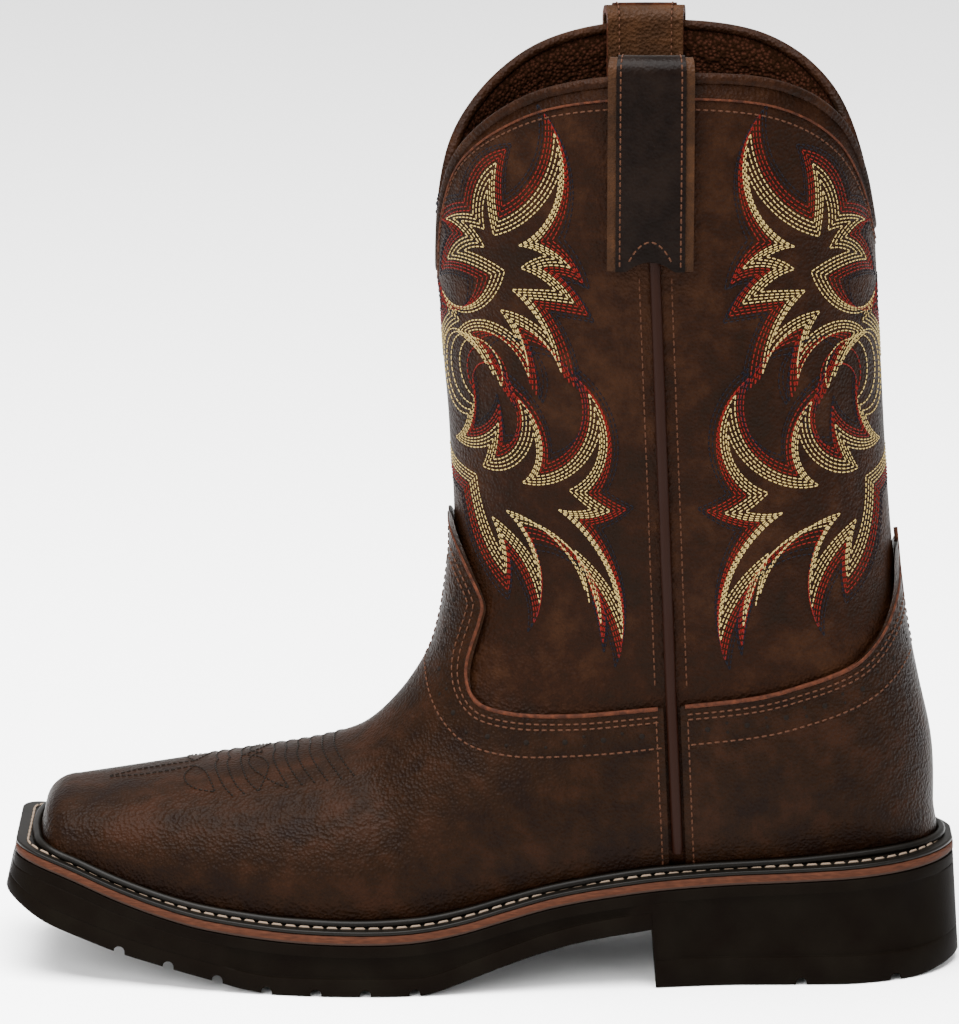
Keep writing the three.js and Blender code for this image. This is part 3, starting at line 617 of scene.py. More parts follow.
def skin(u, v, offset=0.0):
    """The form grown by an offset. From -1 down to -2 the rows close over the toe's front."""
    u = np.asarray(u, float) + 0 * np.asarray(v, float)
    rim = np.maximum(u, -1)
    bare = form(rim, v)
    spot = bare + (offset + relief(bare))[..., None] * normal(rim, v)
    ring = np.linspace(0, 1, 64, endpoint=False)
    edge = form(0 * ring - 1, ring) + offset * normal(0 * ring - 1, ring)
    share = np.clip(u + 2, 0, 1)[..., None]
    centre = edge.mean(0)
    cap = centre + (spot - centre) * share
    cap = cap + (1 - share**2) * np.array([toe_dome, 0, 0])
    return np.where(u[..., None] < -1, cap, spot)


collar_rows = table(
    "turn up",
    (0, 0.733), (4, 0.739), (8, 0.761), (14, 0.812), (23.5, 0.872), (36, 0.919), (51, 0.96),
    (63, 0.982), (79, 0.996), (99, 1), (118, 0.992), (132, 0.971), (144, 0.94), (152, 0.909),
    (161, 0.862), (168, 0.819), (174, 0.794), (180, 0.786),
)


def collar(v):
    """Place of the collar's edge along the rows."""
    drop = 2 * binding_radius - binding_seat
    turn = 360 * np.minimum(v % 1, 1 - v % 1)
    height = leg_up(column(collar_rows, "up", turn, by="turn")) - drop
    low = foot_count + 0 * v
    high = top_section + 0 * v
    for _ in range(30):
        middle = (low + high) / 2
        below = form(middle, v)[..., 2] < height
        low = np.where(below, middle, low)
        high = np.where(below, high, middle)
    return (low + high) / 2


def round_places(t):
    """Places round a section, closer at the front and the back."""
    return t - 0.25 * np.sin(4 * math.pi * t) / (4 * math.pi)


drawn_from = foot_count + 4


def sheet(offset, last_row, columns=160, rows=120, drawn=False):
    """A closed sheet over the form, from the middle of the toe's front up to a row or the collar."""
    fine = np.concatenate([
        np.linspace(-2, -1, 7, endpoint=False),
        np.linspace(-1, 0, 12, endpoint=False),
        np.linspace(0, last_row, rows),
    ])

    def shape(s, t):
        v = round_places(s)
        u = np.interp(t, np.linspace(0, 1, len(fine)), fine)
        if drawn:
            stretch = (collar(v) - drawn_from) / (top_section - drawn_from)
            u = np.where(u < drawn_from, u, drawn_from + (u - drawn_from) * stretch)
        return skin(u, v, offset).T

    bm = grid(columns, len(fine) - 1, shape)
    bmesh.ops.remove_doubles(bm, verts=bm.verts, dist=0.001)
    return bm


def trim(bm, lift):
    """Cuts a sheet off along the sole's top, raised by a lift."""
    for vert in bm.verts:
        vert.co.z -= line_height(vert.co.x) + lift
    everything = bm.verts[:] + bm.edges[:] + bm.faces[:]
    bmesh.ops.bisect_plane(
        bm, geom=everything, plane_co=(0, 0, 0), plane_no=(0, 0, 1), clear_inner=True,
    )
    for vert in bm.verts:
        vert.co.z += line_height(vert.co.x) + lift
    return bm


line_x = np.linspace(sole_back - 20, sole_front + 20, 800)
line_z = sole_top(line_x)


def line_height(x):
    return float(np.interp(x, line_x, line_z))


def solid(made, thickness, offset=-1.0, inside=0, edge=0):
    """Gives a sheet its thickness; inside and edge shift the materials of those faces."""
    wall_maker = made.modifiers.new("wall", "SOLIDIFY")
    wall_maker.thickness = thickness * 0.001
    wall_maker.offset = offset
    wall_maker.use_even_offset = True
    wall_maker.material_offset = inside
    wall_maker.material_offset_rim = edge
    return settle(made)


pebble_width = 1.111
pore_width = 2.381
wear_width = 10.53


def hide(name, cloud_width, *stops, shine=(0.4, 0.62), depth=0.0005):
    """A grained leather: colour clouds of a width in mm, shaded by the ramp's stops, over pebbles
    and pores. Pebbles of 0.5 mm and pores of 0.1 mm are drawn coarser, so that they show."""
    leather = surface(name)
    place = add(leather, "TexCoord").outputs["Object"]
    clouds = {"Vector": place, "Scale": scale_for(cloud_width), "Detail": 9.0, "Roughness": 0.68}
    pebbles = {"Vector": place, "Scale": scale_for(pebble_width)}
    pits = {"Vector": place, "Scale": scale_for(pore_width), "Detail": 6.0}
    rubbed = {"Vector": place, "Scale": scale_for(wear_width), "Detail": 8.0, "Roughness": 0.7}
    cloud = add(leather, "TexNoise", clouds).outputs["Fac"]
    grain = add(leather, "TexVoronoi", pebbles).outputs["Distance"]
    pores = add(leather, "TexNoise", pits).outputs["Fac"]
    wear = add(leather, "TexNoise", rubbed).outputs["Fac"]
    mixed = add(leather, "Math", {0: grain, 1: pores}, operation="ADD").outputs[0]
    rough = add(leather, "Math", {0: mixed, 1: wear}, operation="ADD").outputs[0]
    lights = add(leather, "Math", {0: cloud, 1: wear}, operation="ADD").outputs[0]
    half = add(leather, "Math", {0: lights, 1: 0.5}, operation="MULTIPLY").outputs[0]
    colour = add(leather, "ValToRGB", {"Fac": half}, stops)
    gloss = add(leather, "MapRange", {"Value": wear, "To Min": shine[0], "To Max": shine[1]})
    bumps = add(leather, "Bump", {"Height": rough, "Distance": depth, "Strength": 0.7})
    shade(
        leather,
        Base_Color=colour.outputs["Color"],
        Specular_IOR_Level=0.022,
        Roughness=gloss.outputs["Result"],
        Normal=bumps.outputs["Normal"],
    )
    return leather


# Oiled pull-up leather: dark brown with warm, lighter clouds where the oil has moved.
leg_leather = hide(
    "oiled pull-up leather, olive brown", 33.33, (0.4, "0c0502"), (0.5, "110602"), (0.62, "1b0d05"),
)

# Knitted lining: a dark brown nap without gloss, its 0.6 mm loops drawn 1.25 mm wide, so that they
# show.
loop_width = 1.25
lining_cloth = surface("knitted lining, dark brown")
place = add(lining_cloth, "TexCoord").outputs["Object"]
loops = {"Vector": place, "Scale": scale_for(loop_width)}
knit = add(lining_cloth, "TexVoronoi", loops).outputs["Distance"]
colour = add(lining_cloth, "ValToRGB", {"Fac": knit}, ((0.1, "22110b"), (0.6, "0e0603")))
bumps = add(lining_cloth, "Bump", {"Height": knit, "Distance": 0.0012, "Strength": 0.8})
shade(
    lining_cloth,
    Base_Color=colour.outputs["Color"],
    Roughness=0.95,
    Specular_IOR_Level=0.0,
    Normal=bumps.outputs["Normal"],
)

leg = piece("upper_leg", trim(sheet(0, top_section, drawn=True), gap), leg_leather, lining_cloth)
solid(leg, wall, inside=1)
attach(leg, "root")
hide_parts("upper")

# Insole. A cushioned footbed on the turned-in leather, covered with dark brown cloth; it keeps the
# solid of the model.
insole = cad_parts["insole"]
insole.data.materials.clear()
insole.data.materials.append(lining_cloth)

# Welt. A flat black strip round the boot with a ribbed edge, and a rolled bead that stands against
# the leather, stitched through to the midsole in tan waxed thread.
welt_thickness = 1.5
bead_width = 2.9
leather_out = gap + overlay + gap

# Welt strip, satin: black, with a soft line of light along the bead.
welt_cloud = 11.11
welt_black = surface("welt strip, black, satin")
place = add(welt_black, "TexCoord").outputs["Object"]
clouds = {"Vector": place, "Scale": scale_for(welt_cloud), "Detail": 5.0}
cloud = add(welt_black, "TexNoise", clouds).outputs["Fac"]
colour = add(welt_black, "ValToRGB", {"Fac": cloud}, ((0.3, "040302"), (0.7, "080604")))
bumps = add(welt_black, "Bump", {"Height": cloud, "Distance": 0.0004, "Strength": 0.3})
shade(
    welt_black,
    Base_Color=colour.outputs["Color"],
    Specular_IOR_Level=0.05,
    Roughness=0.42,
    Normal=bumps.outputs["Normal"],
)


def rim_line(count):
    """Stations round the sole's outline at even distances: s and across, from the heel's back over
    the outer side and the toe's front, and back along the inner side."""
    toe = np.linspace(1, -1, 30)
    heel = np.linspace(-1, 1, 12)
    s = np.concatenate([stations, 3 + 0 * toe, stations[::-1], 0 * heel])
    across = np.concatenate([1 + 0 * stations, toe, -1 + 0 * stations, heel])
    x, y = plan_spot(s, across, 0 * s)
    length = np.append(0, np.cumsum(np.hypot(np.diff(x), np.diff(y))))
    keep = np.append(True, np.diff(length) > 1e-6)
    even = np.linspace(0, length[-1], count, endpoint=False)
    even_s = np.interp(even, length[keep], s[keep])
    return even_s, np.interp(even, length[keep], across[keep]), length[-1]


rim_s, rim_across, rim_length = rim_line(720)
welt_profile = table(
    "grow up",
    (-13.5, gap), (-13.5, welt_thickness), (-1.0, welt_thickness), (-0.45, welt_thickness - 0.1),
    (-0.2, welt_thickness - 0.4), (-0.2, gap + 0.15), (-0.35, gap), (-13.5, gap),
)


def welt_shape(s, t):
    i = np.rint(s * len(rim_s)).astype(int) % len(rim_s)
    k = np.rint(t * (len(welt_profile["up"]) - 1)).astype(int)
    x, y = plan_spot(rim_s[i], rim_across[i], welt_profile["grow"][k])
    return x, y, sole_top(x) + welt_profile["up"][k]


strip = grid(len(rim_s), len(welt_profile["up"]) - 1, welt_shape)
bmesh.ops.remove_doubles(strip, verts=strip.verts, dist=0.001)
bmesh.ops.recalc_face_normals(strip, faces=strip.faces)
welt = piece("welt_strip", strip, welt_black, sharp=50)
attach(welt, "root")


def resample(path, step, closed=False):
    """The same path with even steps."""
    path = np.asarray(path, float)
    if closed:
        path = np.vstack((path, path[:1]))
    length = np.append(0, np.cumsum(np.linalg.norm(np.diff(path, axis=0), axis=1)))
    keep = np.append(True, np.diff(length) > 1e-7)
    count = max(int(round(length[-1] / step)), 2)
    even = np.linspace(0, length[-1], count + 1)
    made = np.stack([np.interp(even, length[keep], path[keep, k]) for k in range(3)], -1)
    return made[:-1] if closed else made


def foot_line(offset, lift):
    """The closed line round the foot where the form, grown by an offset, stands a lift above the
    sole's top."""
    bm = trim(sheet(offset, foot_count + 1.0, 240, 130), lift)
    low = [edge for edge in bm.edges if edge.is_boundary and edge.calc_length() > 1e-5]
    wanted = {}
    for edge in low:
        a, b = edge.verts
        height = a.co.z - line_height(a.co.x) - lift
        if abs(height) < 0.01:
            wanted.setdefault(a, []).append(b)
            wanted.setdefault(b, []).append(a)
    start = min(wanted, key=lambda vert: vert.co.x)
    path = [start]
    came = None
    here = start
    while True:
        after = [vert for vert in wanted[here] if vert is not came]
        if not after or after[0] is start:
            break
        came, here = here, after[0]
        path.append(here)
    points = np.array([vert.co for vert in path])
    bm.free()
    return points


def tube(path, radius, closed=False, sides=3):
    """A round cord along a path, as a bmesh in millimetres."""
    curve = bpy.data.curves.new("cord", "CURVE")
    curve.dimensions = "3D"
    curve.bevel_depth = radius
    curve.bevel_resolution = sides
    curve.use_fill_caps = not closed
    spline = curve.splines.new("POLY")
    spline.points.add(len(path) - 1)
    spline.points.foreach_set("co", np.column_stack((path, np.ones(len(path)))).ravel())
    spline.use_cyclic_u = closed
    holder = bpy.data.objects.new("cord", curve)
    bm = bmesh.new()
    bpy.context.scene.collection.objects.link(holder)
    graph = bpy.context.evaluated_depsgraph_get()
    mesh = bpy.data.meshes.new_from_object(holder.evaluated_get(graph))
    bm.from_mesh(mesh)
    bpy.data.objects.remove(holder)
    return bm


bead_press = 0.2
bead_lift = 1.0
bead_line = foot_line(leather_out + bead_width / 2 - bead_press, welt_thickness + bead_lift)
bead_path = resample(bead_line, 1.5, closed=True)
bead = piece("welt_bead", tube(bead_path, bead_width / 2, closed=True, sides=4), welt_black)
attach(bead, "root")
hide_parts("welt")


# A stitch's four rings: their share of its length, and their lift and radius for a thread 1 mm thick.
stitch_rings = ((0, -0.35, 0.28), (0.17, 0.1, 0.5), (0.83, 0.1, 0.5), (1, -0.35, 0.28))


def sew(name, rows, thickness, material):
    """One piece of joined stitches. Each row is three arrays: where its stitches start and end, and
    which way is out of the leather there; a stitch dips into the leather at both of its ends."""
    starts, ends, out = [np.concatenate(part) for part in zip(*rows)]
    ahead = unit(ends - starts)
    aside = np.cross(out, ahead)
    turn = np.arange(4) * math.pi / 2
    rings = []
    for share, lift, radius in stitch_rings:
        centre = starts + (ends - starts) * share + out * lift * thickness
        spoke = out[:, None] * np.cos(turn)[None, :, None] + aside[:, None] * np.sin(turn)[None, :, None]
        rings.append(centre[:, None] + spoke * radius * thickness)
    verts = np.stack(rings, 1).reshape(-1, 3) * 0.001
    sides = [(4 * k + i, 4 * k + (i + 1) % 4) for k in range(3) for i in range(4)]
    one = [[a, a + 4, b + 4, b] for a, b in sides] + [[0, 1, 2, 3], [15, 14, 13, 12]]
    faces = [[16 * n + corner for corner in face] for n in range(len(starts)) for face in one]
    mesh = bpy.data.meshes.new(name)
    mesh.from_pydata(verts.tolist(), [], faces)
    mesh.shade_smooth()
    mesh.materials.append(material)
    made = bpy.data.objects.new(name, mesh)
    bpy.context.scene.collection.objects.link(made)
    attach(made, "root")


def row_of(path, out, pitch, share=0.76):
    """Stitches at even steps along a path with its outward directions."""
    length = np.append(0, np.cumsum(np.linalg.norm(np.diff(path, axis=0), axis=1)))
    count = max(int(length[-1] / pitch), 1)
    middle = (np.arange(count) + 0.5) * length[-1] / count
    reach = pitch * share / 2

    def at(values, places):
        return np.stack([np.interp(places, length, values[:, k]) for k in range(3)], -1)

    return at(path, middle - reach), at(path, middle + reach), unit(at(out, middle))


def waxed(name, code, gloss=0.55):
    """A thread material, plain, with the gloss of its wax."""
    made = surface(name)
    shade(made, Base_Color=linear(code), Roughness=gloss, Specular_IOR_Level=0.05)
    return made


# Waxed thread, grey tan: thick, light stitches on the black strip.
tan_thread = waxed("waxed thread, grey tan", "54483d")
welt_pitch = 4.6
welt_row = 4.2
row_s, row_across, _ = rim_line(int(rim_length / welt_pitch) * 8)
row_x, row_y = plan_spot(row_s, row_across, -welt_row)
welt_path = np.column_stack((row_x, row_y, sole_top(row_x) + welt_thickness))
welt_path = np.vstack((welt_path, welt_path[:1]))
welt_sewn = row_of(welt_path, 0 * welt_path + (0, 0, 1), welt_pitch, 0.84)
sew("welt_stitching", [welt_sewn], 0.95, tan_thread)

# Vamp and counter. Two overlays of oiled leather, dark reddish brown, their raw edges burnished
# rust red, lasted over the leg leather and sewn to it with two rows along the edge.
vamp_rows = table(
    "at up",
    (0.565, 0.435), (0.543, 0.425), (0.534, 0.401), (0.518, 0.362), (0.503, 0.325), (0.505, 0.305),
    (0.518, 0.255), (0.52, 0.231), (0.515, 0.213), (0.502, 0.202), (0.463, 0.196), (0.418, 0.197),
    (0.374, 0.201), (0.298, 0.211),
)
counter_rows = table(
    "at up",
    (0.292, 0.212), (0.274, 0.214), (0.196, 0.224), (0.151, 0.235), (0.117, 0.245), (0.088, 0.258),
    (0.067, 0.279), (0.053, 0.303), (0.044, 0.335), (0.04, 0.385), (0.02, 0.39),
)
piping_width = 3.8
seam_groove = 0.9
seam_top = (0.317, 0.763)
seam_foot = (0.285, -0.04)


def seam_x(up):
    share = (up - seam_foot[1]) / (seam_top[1] - seam_foot[1])
    return x_at(seam_foot[0] + (seam_top[0] - seam_foot[0]) * share)


def curved(x, z, step):
    """A smooth line through places in the side view, with even steps."""
    knots = np.column_stack((x, 0 * x, z))
    lengths = np.append(0, np.cumsum(np.sqrt(np.linalg.norm(np.diff(knots, axis=0), axis=1))))
    fine = np.linspace(0, lengths[-1], 400)
    rows = {"at": lengths, "x": knots[:, 0], "z": knots[:, 2]}
    path = np.column_stack((column(rows, "x", fine), 0 * fine, column(rows, "z", fine)))
    return resample(path, step)[:, [0, 2]]


def side_knife(name, outline):
    """A cutter: an outline in the side view, run through the boot."""
    bm = bmesh.new()
    face = bm.faces.new([bm.verts.new((x, -leg_breadth, z)) for x, z in outline])
    drawn_out = bmesh.ops.extrude_face_region(bm, geom=[face])["geom"]
    far_side = [item for item in drawn_out if isinstance(item, bmesh.types.BMVert)]
    bmesh.ops.translate(bm, vec=(0, 2 * leg_breadth, 0), verts=far_side)
    bmesh.ops.recalc_face_normals(bm, faces=bm.faces)
    return piece(name, bm)


# Oiled leather of the foot: redder, smoother and a little glossier than the leg's.
vamp_leather = hide(
    "oiled leather, dark reddish brown", 41.67, (0.4, "0a0402"), (0.5, "0f0602"), (0.62, "170a04"),
    shine=(0.36, 0.54),
)

far_below = -100
slot_up = 0.21
slot_down = seam_foot[1]
far_ahead = x_at(1.15)
far_behind = x_at(-0.15)
vamp_line = curved(x_at(vamp_rows["at"]), leg_up(vamp_rows["up"]), 1.2)
counter_line = curved(x_at(counter_rows["at"]), leg_up(counter_rows["up"]), 1.2)
half_slot = piping_width / 2 + seam_groove


def overlay_piece(name, outline):
    made = piece(name, trim(sheet(gap + overlay, foot_count + 6.0, 190, 130), gap), vamp_leather)
    solid(made, overlay)
    return cut(made, side_knife("knife", outline), "INTERSECT")


vamp = overlay_piece("vamp_leather", [
    *[(x, z) for x, z in vamp_line if x > seam_x(slot_up) + half_slot],
    (seam_x(slot_up) + half_slot, leg_up(slot_up)),
    (seam_x(slot_down) + half_slot, leg_up(slot_down)),
    (seam_x(slot_down) + half_slot, far_below),
    (far_ahead, far_below),
    (far_ahead, leg_up(vamp_rows["up"][0])),
])
vamp.data.set_sharp_from_angle(angle=math.radians(50))
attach(vamp, "root")
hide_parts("vamp")
counter = overlay_piece("counter_leather", [
    *[(x, z) for x, z in counter_line if x < seam_x(slot_up) - half_slot],
    (far_behind, leg_up(counter_rows["up"][-1])),
    (far_behind, far_below),
    (seam_x(slot_down) - half_slot, far_below),
    (seam_x(slot_down) - half_slot, leg_up(slot_down)),
    (seam_x(slot_up) - half_slot, leg_up(slot_up)),
])
counter.data.set_sharp_from_angle(angle=math.radians(50))
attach(counter, "root")
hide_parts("counter")


def side_place(x, z, side):
    """Where a place in the side view lies on the form: u and v."""
    x = np.asarray(x, float)
    z = np.asarray(z, float)
    low = 0 * x
    high = top_section + 0 * x
    for _ in range(34):
        middle = (low + high) / 2
        row = section(middle)
        upwards = (row["front_x"] - row["back_x"]) * (z - row["back_z"])
        forwards = (row["front_z"] - row["back_z"]) * (x - row["back_x"])
        above = upwards > forwards
        low = np.where(above, middle, low)
        high = np.where(above, high, middle)
    u = (low + high) / 2
    row = section(u)
    run_x = row["front_x"] - row["back_x"]
    run_z = row["front_z"] - row["back_z"]
    h = ((x - row["back_x"]) * run_x + (z - row["back_z"]) * run_z) / (run_x**2 + run_z**2)
    roof = h > row["widest"]
    along = np.where(roof, (h - row["widest"]) / (1 - row["widest"]), h / row["widest"] - 1)
    along = np.clip(along, -1, 1)
    power = 2 / np.where(roof, row["roof"], row["floor"])
    cosine = np.sign(along) * np.abs(along) ** (1 / power)
    angle = np.arccos(np.clip(cosine, -1, 1)) / (2 * math.pi)
    return u, np.where(np.asarray(side) > 0, angle, 1 - angle)


def side_skin(x, z, side, offset):
    u, v = side_place(x, z, side)
    return skin(u, v, offset)


def beside(line, distance):
    """A line in the side view moved to its left, into the overlay."""
    ahead = unit(np.gradient(line, axis=0))
    return line + distance * np.column_stack((-ahead[:, 1], ahead[:, 0]))


def laid(line, side, offset):
    """A line in the side view laid on one side of the boot, with its outward directions."""
    u, v = side_place(line[:, 0], line[:, 1], side)
    return skin(u, v, offset), normal(u, v)


# Cut leather edge, burnished: rust red, matt and a little frayed, its fibres drawn 2 mm wide.
fray_width = 2.0
raw_edge = surface("cut leather edge, rust red")
place = add(raw_edge, "TexCoord").outputs["Object"]
frays = {"Vector": place, "Scale": scale_for(fray_width), "Detail": 6.0}
fray = add(raw_edge, "TexNoise", frays).outputs["Fac"]
colour = add(raw_edge, "ValToRGB", {"Fac": fray}, ((0.35, "1c0b05"), (0.65, "33180c")))
bumps = add(raw_edge, "Bump", {"Height": fray, "Distance": 0.0006, "Strength": 0.8})
shade(
    raw_edge,
    Base_Color=colour.outputs["Color"],
    Roughness=0.7,
    Specular_IOR_Level=0.05,
    Normal=bumps.outputs["Normal"],
)

# Thread a little lighter than the leather. The holes are drawn as dark discs: painted shade that stands
# in for their depth.
brown_thread = waxed("thread, mid brown", "2d1a10")
painted_hole_shade = waxed("punched hole, dark", "0b0705", 0.9)


def holes(name, centres, out, radius):
    """Punched holes, joined: dark discs let into the leather's face, their dark colour painted shade in
    place of the holes' depth.
    """
    bm = bmesh.new()
    for centre, way, size in zip(centres, out, radius):
        turn = Vector(way).to_track_quat("Z", "Y").to_matrix().to_4x4()
        bmesh.ops.create_cone(
            bm, cap_ends=True, segments=10, radius1=size, radius2=size * 0.92, depth=0.3,
            matrix=Matrix.Translation(centre) @ turn,
        )
    made = piece(name, bm, painted_hole_shade)
    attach(made, "root")


overlay_face = gap + overlay
overlay_distances = (3.0, 4.8, 13.5)
overlay_pitch = 2.6
sole_clearance = 6
rim_radius = 0.75
rim_sink = 0.35
hole_distance = 8.8
hole_pitch = 6.4
hole_radius = 1.0
small_hole_radius = 0.6
small_hole_apart = 1.6
seam_middle = seam_x(slot_up)
vamp_edge = vamp_line[vamp_line[:, 0] > seam_middle + half_slot + 0.5]
counter_edge = counter_line[counter_line[:, 0] < seam_middle - half_slot - 0.5]
overlay_rows = []
hole_spots = []
for side in (1, -1):
    for part, edge in (("vamp", vamp_edge), ("counter", counter_edge)):
        path, out = laid(beside(edge, rim_sink), side, overlay_face - rim_sink)
        name = f"{part}_edge_outer" if side > 0 else f"{part}_edge_inner"
        rim = piece(name, tube(path, rim_radius), raw_edge)
        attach(rim, "root")
        for distance in overlay_distances:
            line = beside(edge, distance)
            span = line[line[:, 1] > sole_top(line[:, 0]) + sole_clearance]
            path, out = laid(span, side, overlay_face)
            overlay_rows.append(row_of(path, out, overlay_pitch))
        line = np.insert(beside(edge, hole_distance), 1, 0, axis=1)
        line = resample(line, hole_pitch)[:, [0, 2]]
        path, out = laid(line, side, overlay_face - 0.1)
        for k in range(1, len(line) - 1):
            if k % 2:
                hole_spots.append((path[k], out[k], hole_radius))
            else:
                ahead = unit(path[k + 1] - path[k - 1])
                apart = small_hole_apart * np.cross(out[k], ahead)
                hole_spots.append((path[k] + apart, out[k], small_hole_radius))
                hole_spots.append((path[k] - apart, out[k], small_hole_radius))
# The holes' dark discs are painted shade, not a colour of the leather.
holes("vamp_holes", *zip(*hole_spots))
sew("overlay_stitching", overlay_rows, 0.62, brown_thread)

# Toe stitching. Rows of dark brown thread on the vamp's top: a long pointed loop along the ridge, two
# petals, and even arcs over the instep, the same on both sides. Rows give the place along the
# ridge and the distance down the side from it, both in mm.
toe_rows = (
    ((228, 0), (217, 3), (207, 3.2), (199, 2.5)),
    ((199, 2.5), (202, 10), (201, 17), (197, 22), (191, 25)),
    ((191, 25), (193, 18), (195.5, 9), (199, 2.5)),
    ((191, -1), (192, 5), (190.5, 15), (188, 23), (184.5, 29)),
    ((187, -1), (188, 5), (186.5, 15), (184, 23), (180.5, 29)),
    ((183, -1), (183.5, 5), (182, 15), (180, 22), (176, 28.5)),
    ((176, 28.5), (174, 19), (174, 12), (177, 5), (183, -1)),
    ((176, -2), (180, 3), (180.5, 9), (178, 16), (172, 24), (166, 29)),
    ((172, -1), (172.5, 6), (171.5, 13), (169.5, 20), (166, 29)),
    ((168, -1), (168.5, 6), (167.5, 13), (165.5, 20), (161.5, 29)),
    ((164, -1), (164.5, 6), (163.5, 13), (161.5, 20), (157.5, 29)),
    ((160, -1), (160.3, 6), (159.3, 13), (157.3, 20), (153.5, 29.5)),
    ((156, -1), (156, 6), (155, 13), (153, 20), (149.5, 30)),
    ((152, -1), (152, 6), (151, 13), (149.3, 20), (146, 30)),
)
toe_lines = 240
toe_lattice_u = np.linspace(-0.9, 9, toe_lines)
toe_lattice_v = np.linspace(-0.06, 0.3, 160)
toe_lattice = skin(toe_lattice_u[:, None], (toe_lattice_v % 1)[None, :], overlay_face)
toe_steps = np.linalg.norm(np.diff(toe_lattice, axis=1), axis=2)
toe_girth = np.concatenate((np.zeros((toe_lines, 1)), np.cumsum(toe_steps, 1)), 1)
ridge_index = int(np.searchsorted(toe_lattice_v, 0))
toe_girth = toe_girth - toe_girth[:, ridge_index : ridge_index + 1]
ridge_x = toe_lattice[:, ridge_index, 0]


def toe_place(ahead, down):
    """Places on the vamp from a place along the ridge and a distance down the side."""
    row = np.interp(-ahead, -ridge_x, np.arange(toe_lines))
    low = np.clip(row.astype(int), 0, toe_lines - 2)
    v = []
    for i, part, girth in zip(low, row - low, down):
        nearer = np.interp(girth, toe_girth[i], toe_lattice_v)
        farther = np.interp(girth, toe_girth[i + 1], toe_lattice_v)
        v.append((1 - part) * nearer + part * farther)
    return np.interp(row, np.arange(toe_lines), toe_lattice_u), np.array(v)


# Thread nearly as dark as the leather: it shows by its shadow.
toe_thread = waxed("thread, dark brown", "060301", 0.5)
toe_sewn = []
for rows in toe_rows:
    line = curved(*np.array(rows, float).T, 0.8)
    u, v = toe_place(line[:, 0], line[:, 1])
    for side in (1, -1):
        around = (side * v) % 1
        toe_sewn.append(row_of(skin(u, around, overlay_face), normal(u, around), 2.0, 0.8))
sew("toe_stitching", toe_sewn, 0.62, toe_thread)

# Side cords. A cord rolled from the leg's leather is sewn into each side seam, from the bead up to the
# pull strap, and a row of thread on either side of it holds the seam's two edges down.
seam_row_distance = 5.2
seam_pitch = 2.6

# Rolled leather, polished by handling: a smooth dark line.
cord_leather = surface("rolled leather cord, dark brown, polished")
shade(cord_leather, Base_Color=linear("110502"), Roughness=0.45, Specular_IOR_Level=0.035)

seam_rows = []
for name, side in (("outer", 1), ("inner", -1)):
    up = np.linspace(0.025, seam_top[1] + 0.01, 120)
    path = side_skin(seam_x(up), leg_up(up), side, gap + 0.55)
    cord = piece(f"side_cord_{name}", tube(path, piping_width / 2, sides=4), cord_leather)
    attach(cord, "root")
    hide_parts(f"piping_{name}")
    for away in (-seam_row_distance, seam_row_distance):
        up = np.linspace(0.235, seam_top[1] - 0.01, 120)
        path, out = laid(np.column_stack((seam_x(up) + away, leg_up(up))), side, 0)
        seam_rows.append(row_of(path, out, seam_pitch))
        up = np.linspace(0.0, 0.195, 60)
        path, out = laid(np.column_stack((seam_x(up) + away, leg_up(up))), side, overlay_face)
        seam_rows.append(row_of(path, out, seam_pitch))
sew("side_seam_stitching", seam_rows, 0.6, brown_thread)

# Flame stitching. The traditional ornament of a western leg: a flame-shaped outline in four rows of
# cream thread with three red and two navy rows round it, on each quarter of the leg. The chart
# gives each corner's distance from the side seam and height above the floor, and how far the next
# edge bows to the left, all in mm; tips and valleys take turns, from the heel line back to it.
flame_chart = (
    (99, 204, -2.2), (77, 221.5, 0), (79.5, 225, 5.7), (53, 241.5, 1), (71, 246, -0.7),
    (61, 248.5, 0.5), (67.5, 255, -0.2), (60.5, 254.5, -1.4), (58.5, 268, 0.6), (56.5, 253, 4),
    (31, 275.5, -4.3), (47, 250.5, -0.8), (36.5, 248, 0.7), (46.5, 243, -1.2), (34, 236.5, 0.2),
    (50.5, 235.5, -1.2), (38.5, 221.5, 1.8), (56, 228, -0.5), (50, 219, 5.3), (78.5, 217.5, -0.8),
    (67, 212, 22), (76.5, 190, -1.5), (87, 180.5, 2), (66.5, 181, -0.3), (71, 173, 5.8),
    (47, 187.5, -3.4), (53.5, 169.5, 6.6), (22, 189, -4), (35, 168.5, 0.2), (27, 162.5, -0.8),
    (40, 161.5, -4), (19, 131.5, 1.2), (34.5, 148, -0.3), (31, 134, 6.2), (62, 159, -2.1),
    (50.5, 141.5, 1.8), (69, 156, -0.8), (65.5, 144.5, -2.5), (75, 169.5, -0.8), (98.3, 176.5, 0),
)
chart_width = 98.5
row_step = 1.2
row_drift = 0.25
valley_step = 2.4
tip_steps = (4.6, 4.6, 4.6, 2.4, 2.2, 2.2, 1.8, 1.7)
flame_pitch = 1.95
flame_threads = (("cream", 0, 4), ("red", 4, 7), ("navy", 7, 9))
least_bow = 0.15
shortest_run = 1.2
flame_reach = 0.39
line_end = chart_width + 0.5
corners = np.array(flame_chart)[:, :2]
bows = np.array(flame_chart)[:-1, 2]
bows = np.where(np.abs(bows) < least_bow, least_bow, bows)
chords = np.diff(corners, axis=0)
chord_length = np.linalg.norm(chords, axis=1)
chord_angle = np.arctan2(chords[:, 1], chords[:, 0])
half_turn = 2 * np.arctan(2 * bows / chord_length)
arriving = (chord_angle - half_turn)[:-1]
leaving = (chord_angle + half_turn)[1:]
tip_way = np.column_stack((np.cos(arriving) - np.cos(leaving), np.sin(arriving) - np.sin(leaving)))
tip_sharpness = np.maximum(np.linalg.norm(tip_way, axis=1), 0.01)
tip_run = row_step / np.sqrt(np.maximum(1 - tip_sharpness**2 / 4, 0.01))
tip_move = np.vstack(((0, 0), tip_way / tip_sharpness[:, None] * tip_run[:, None], (0, 0)))
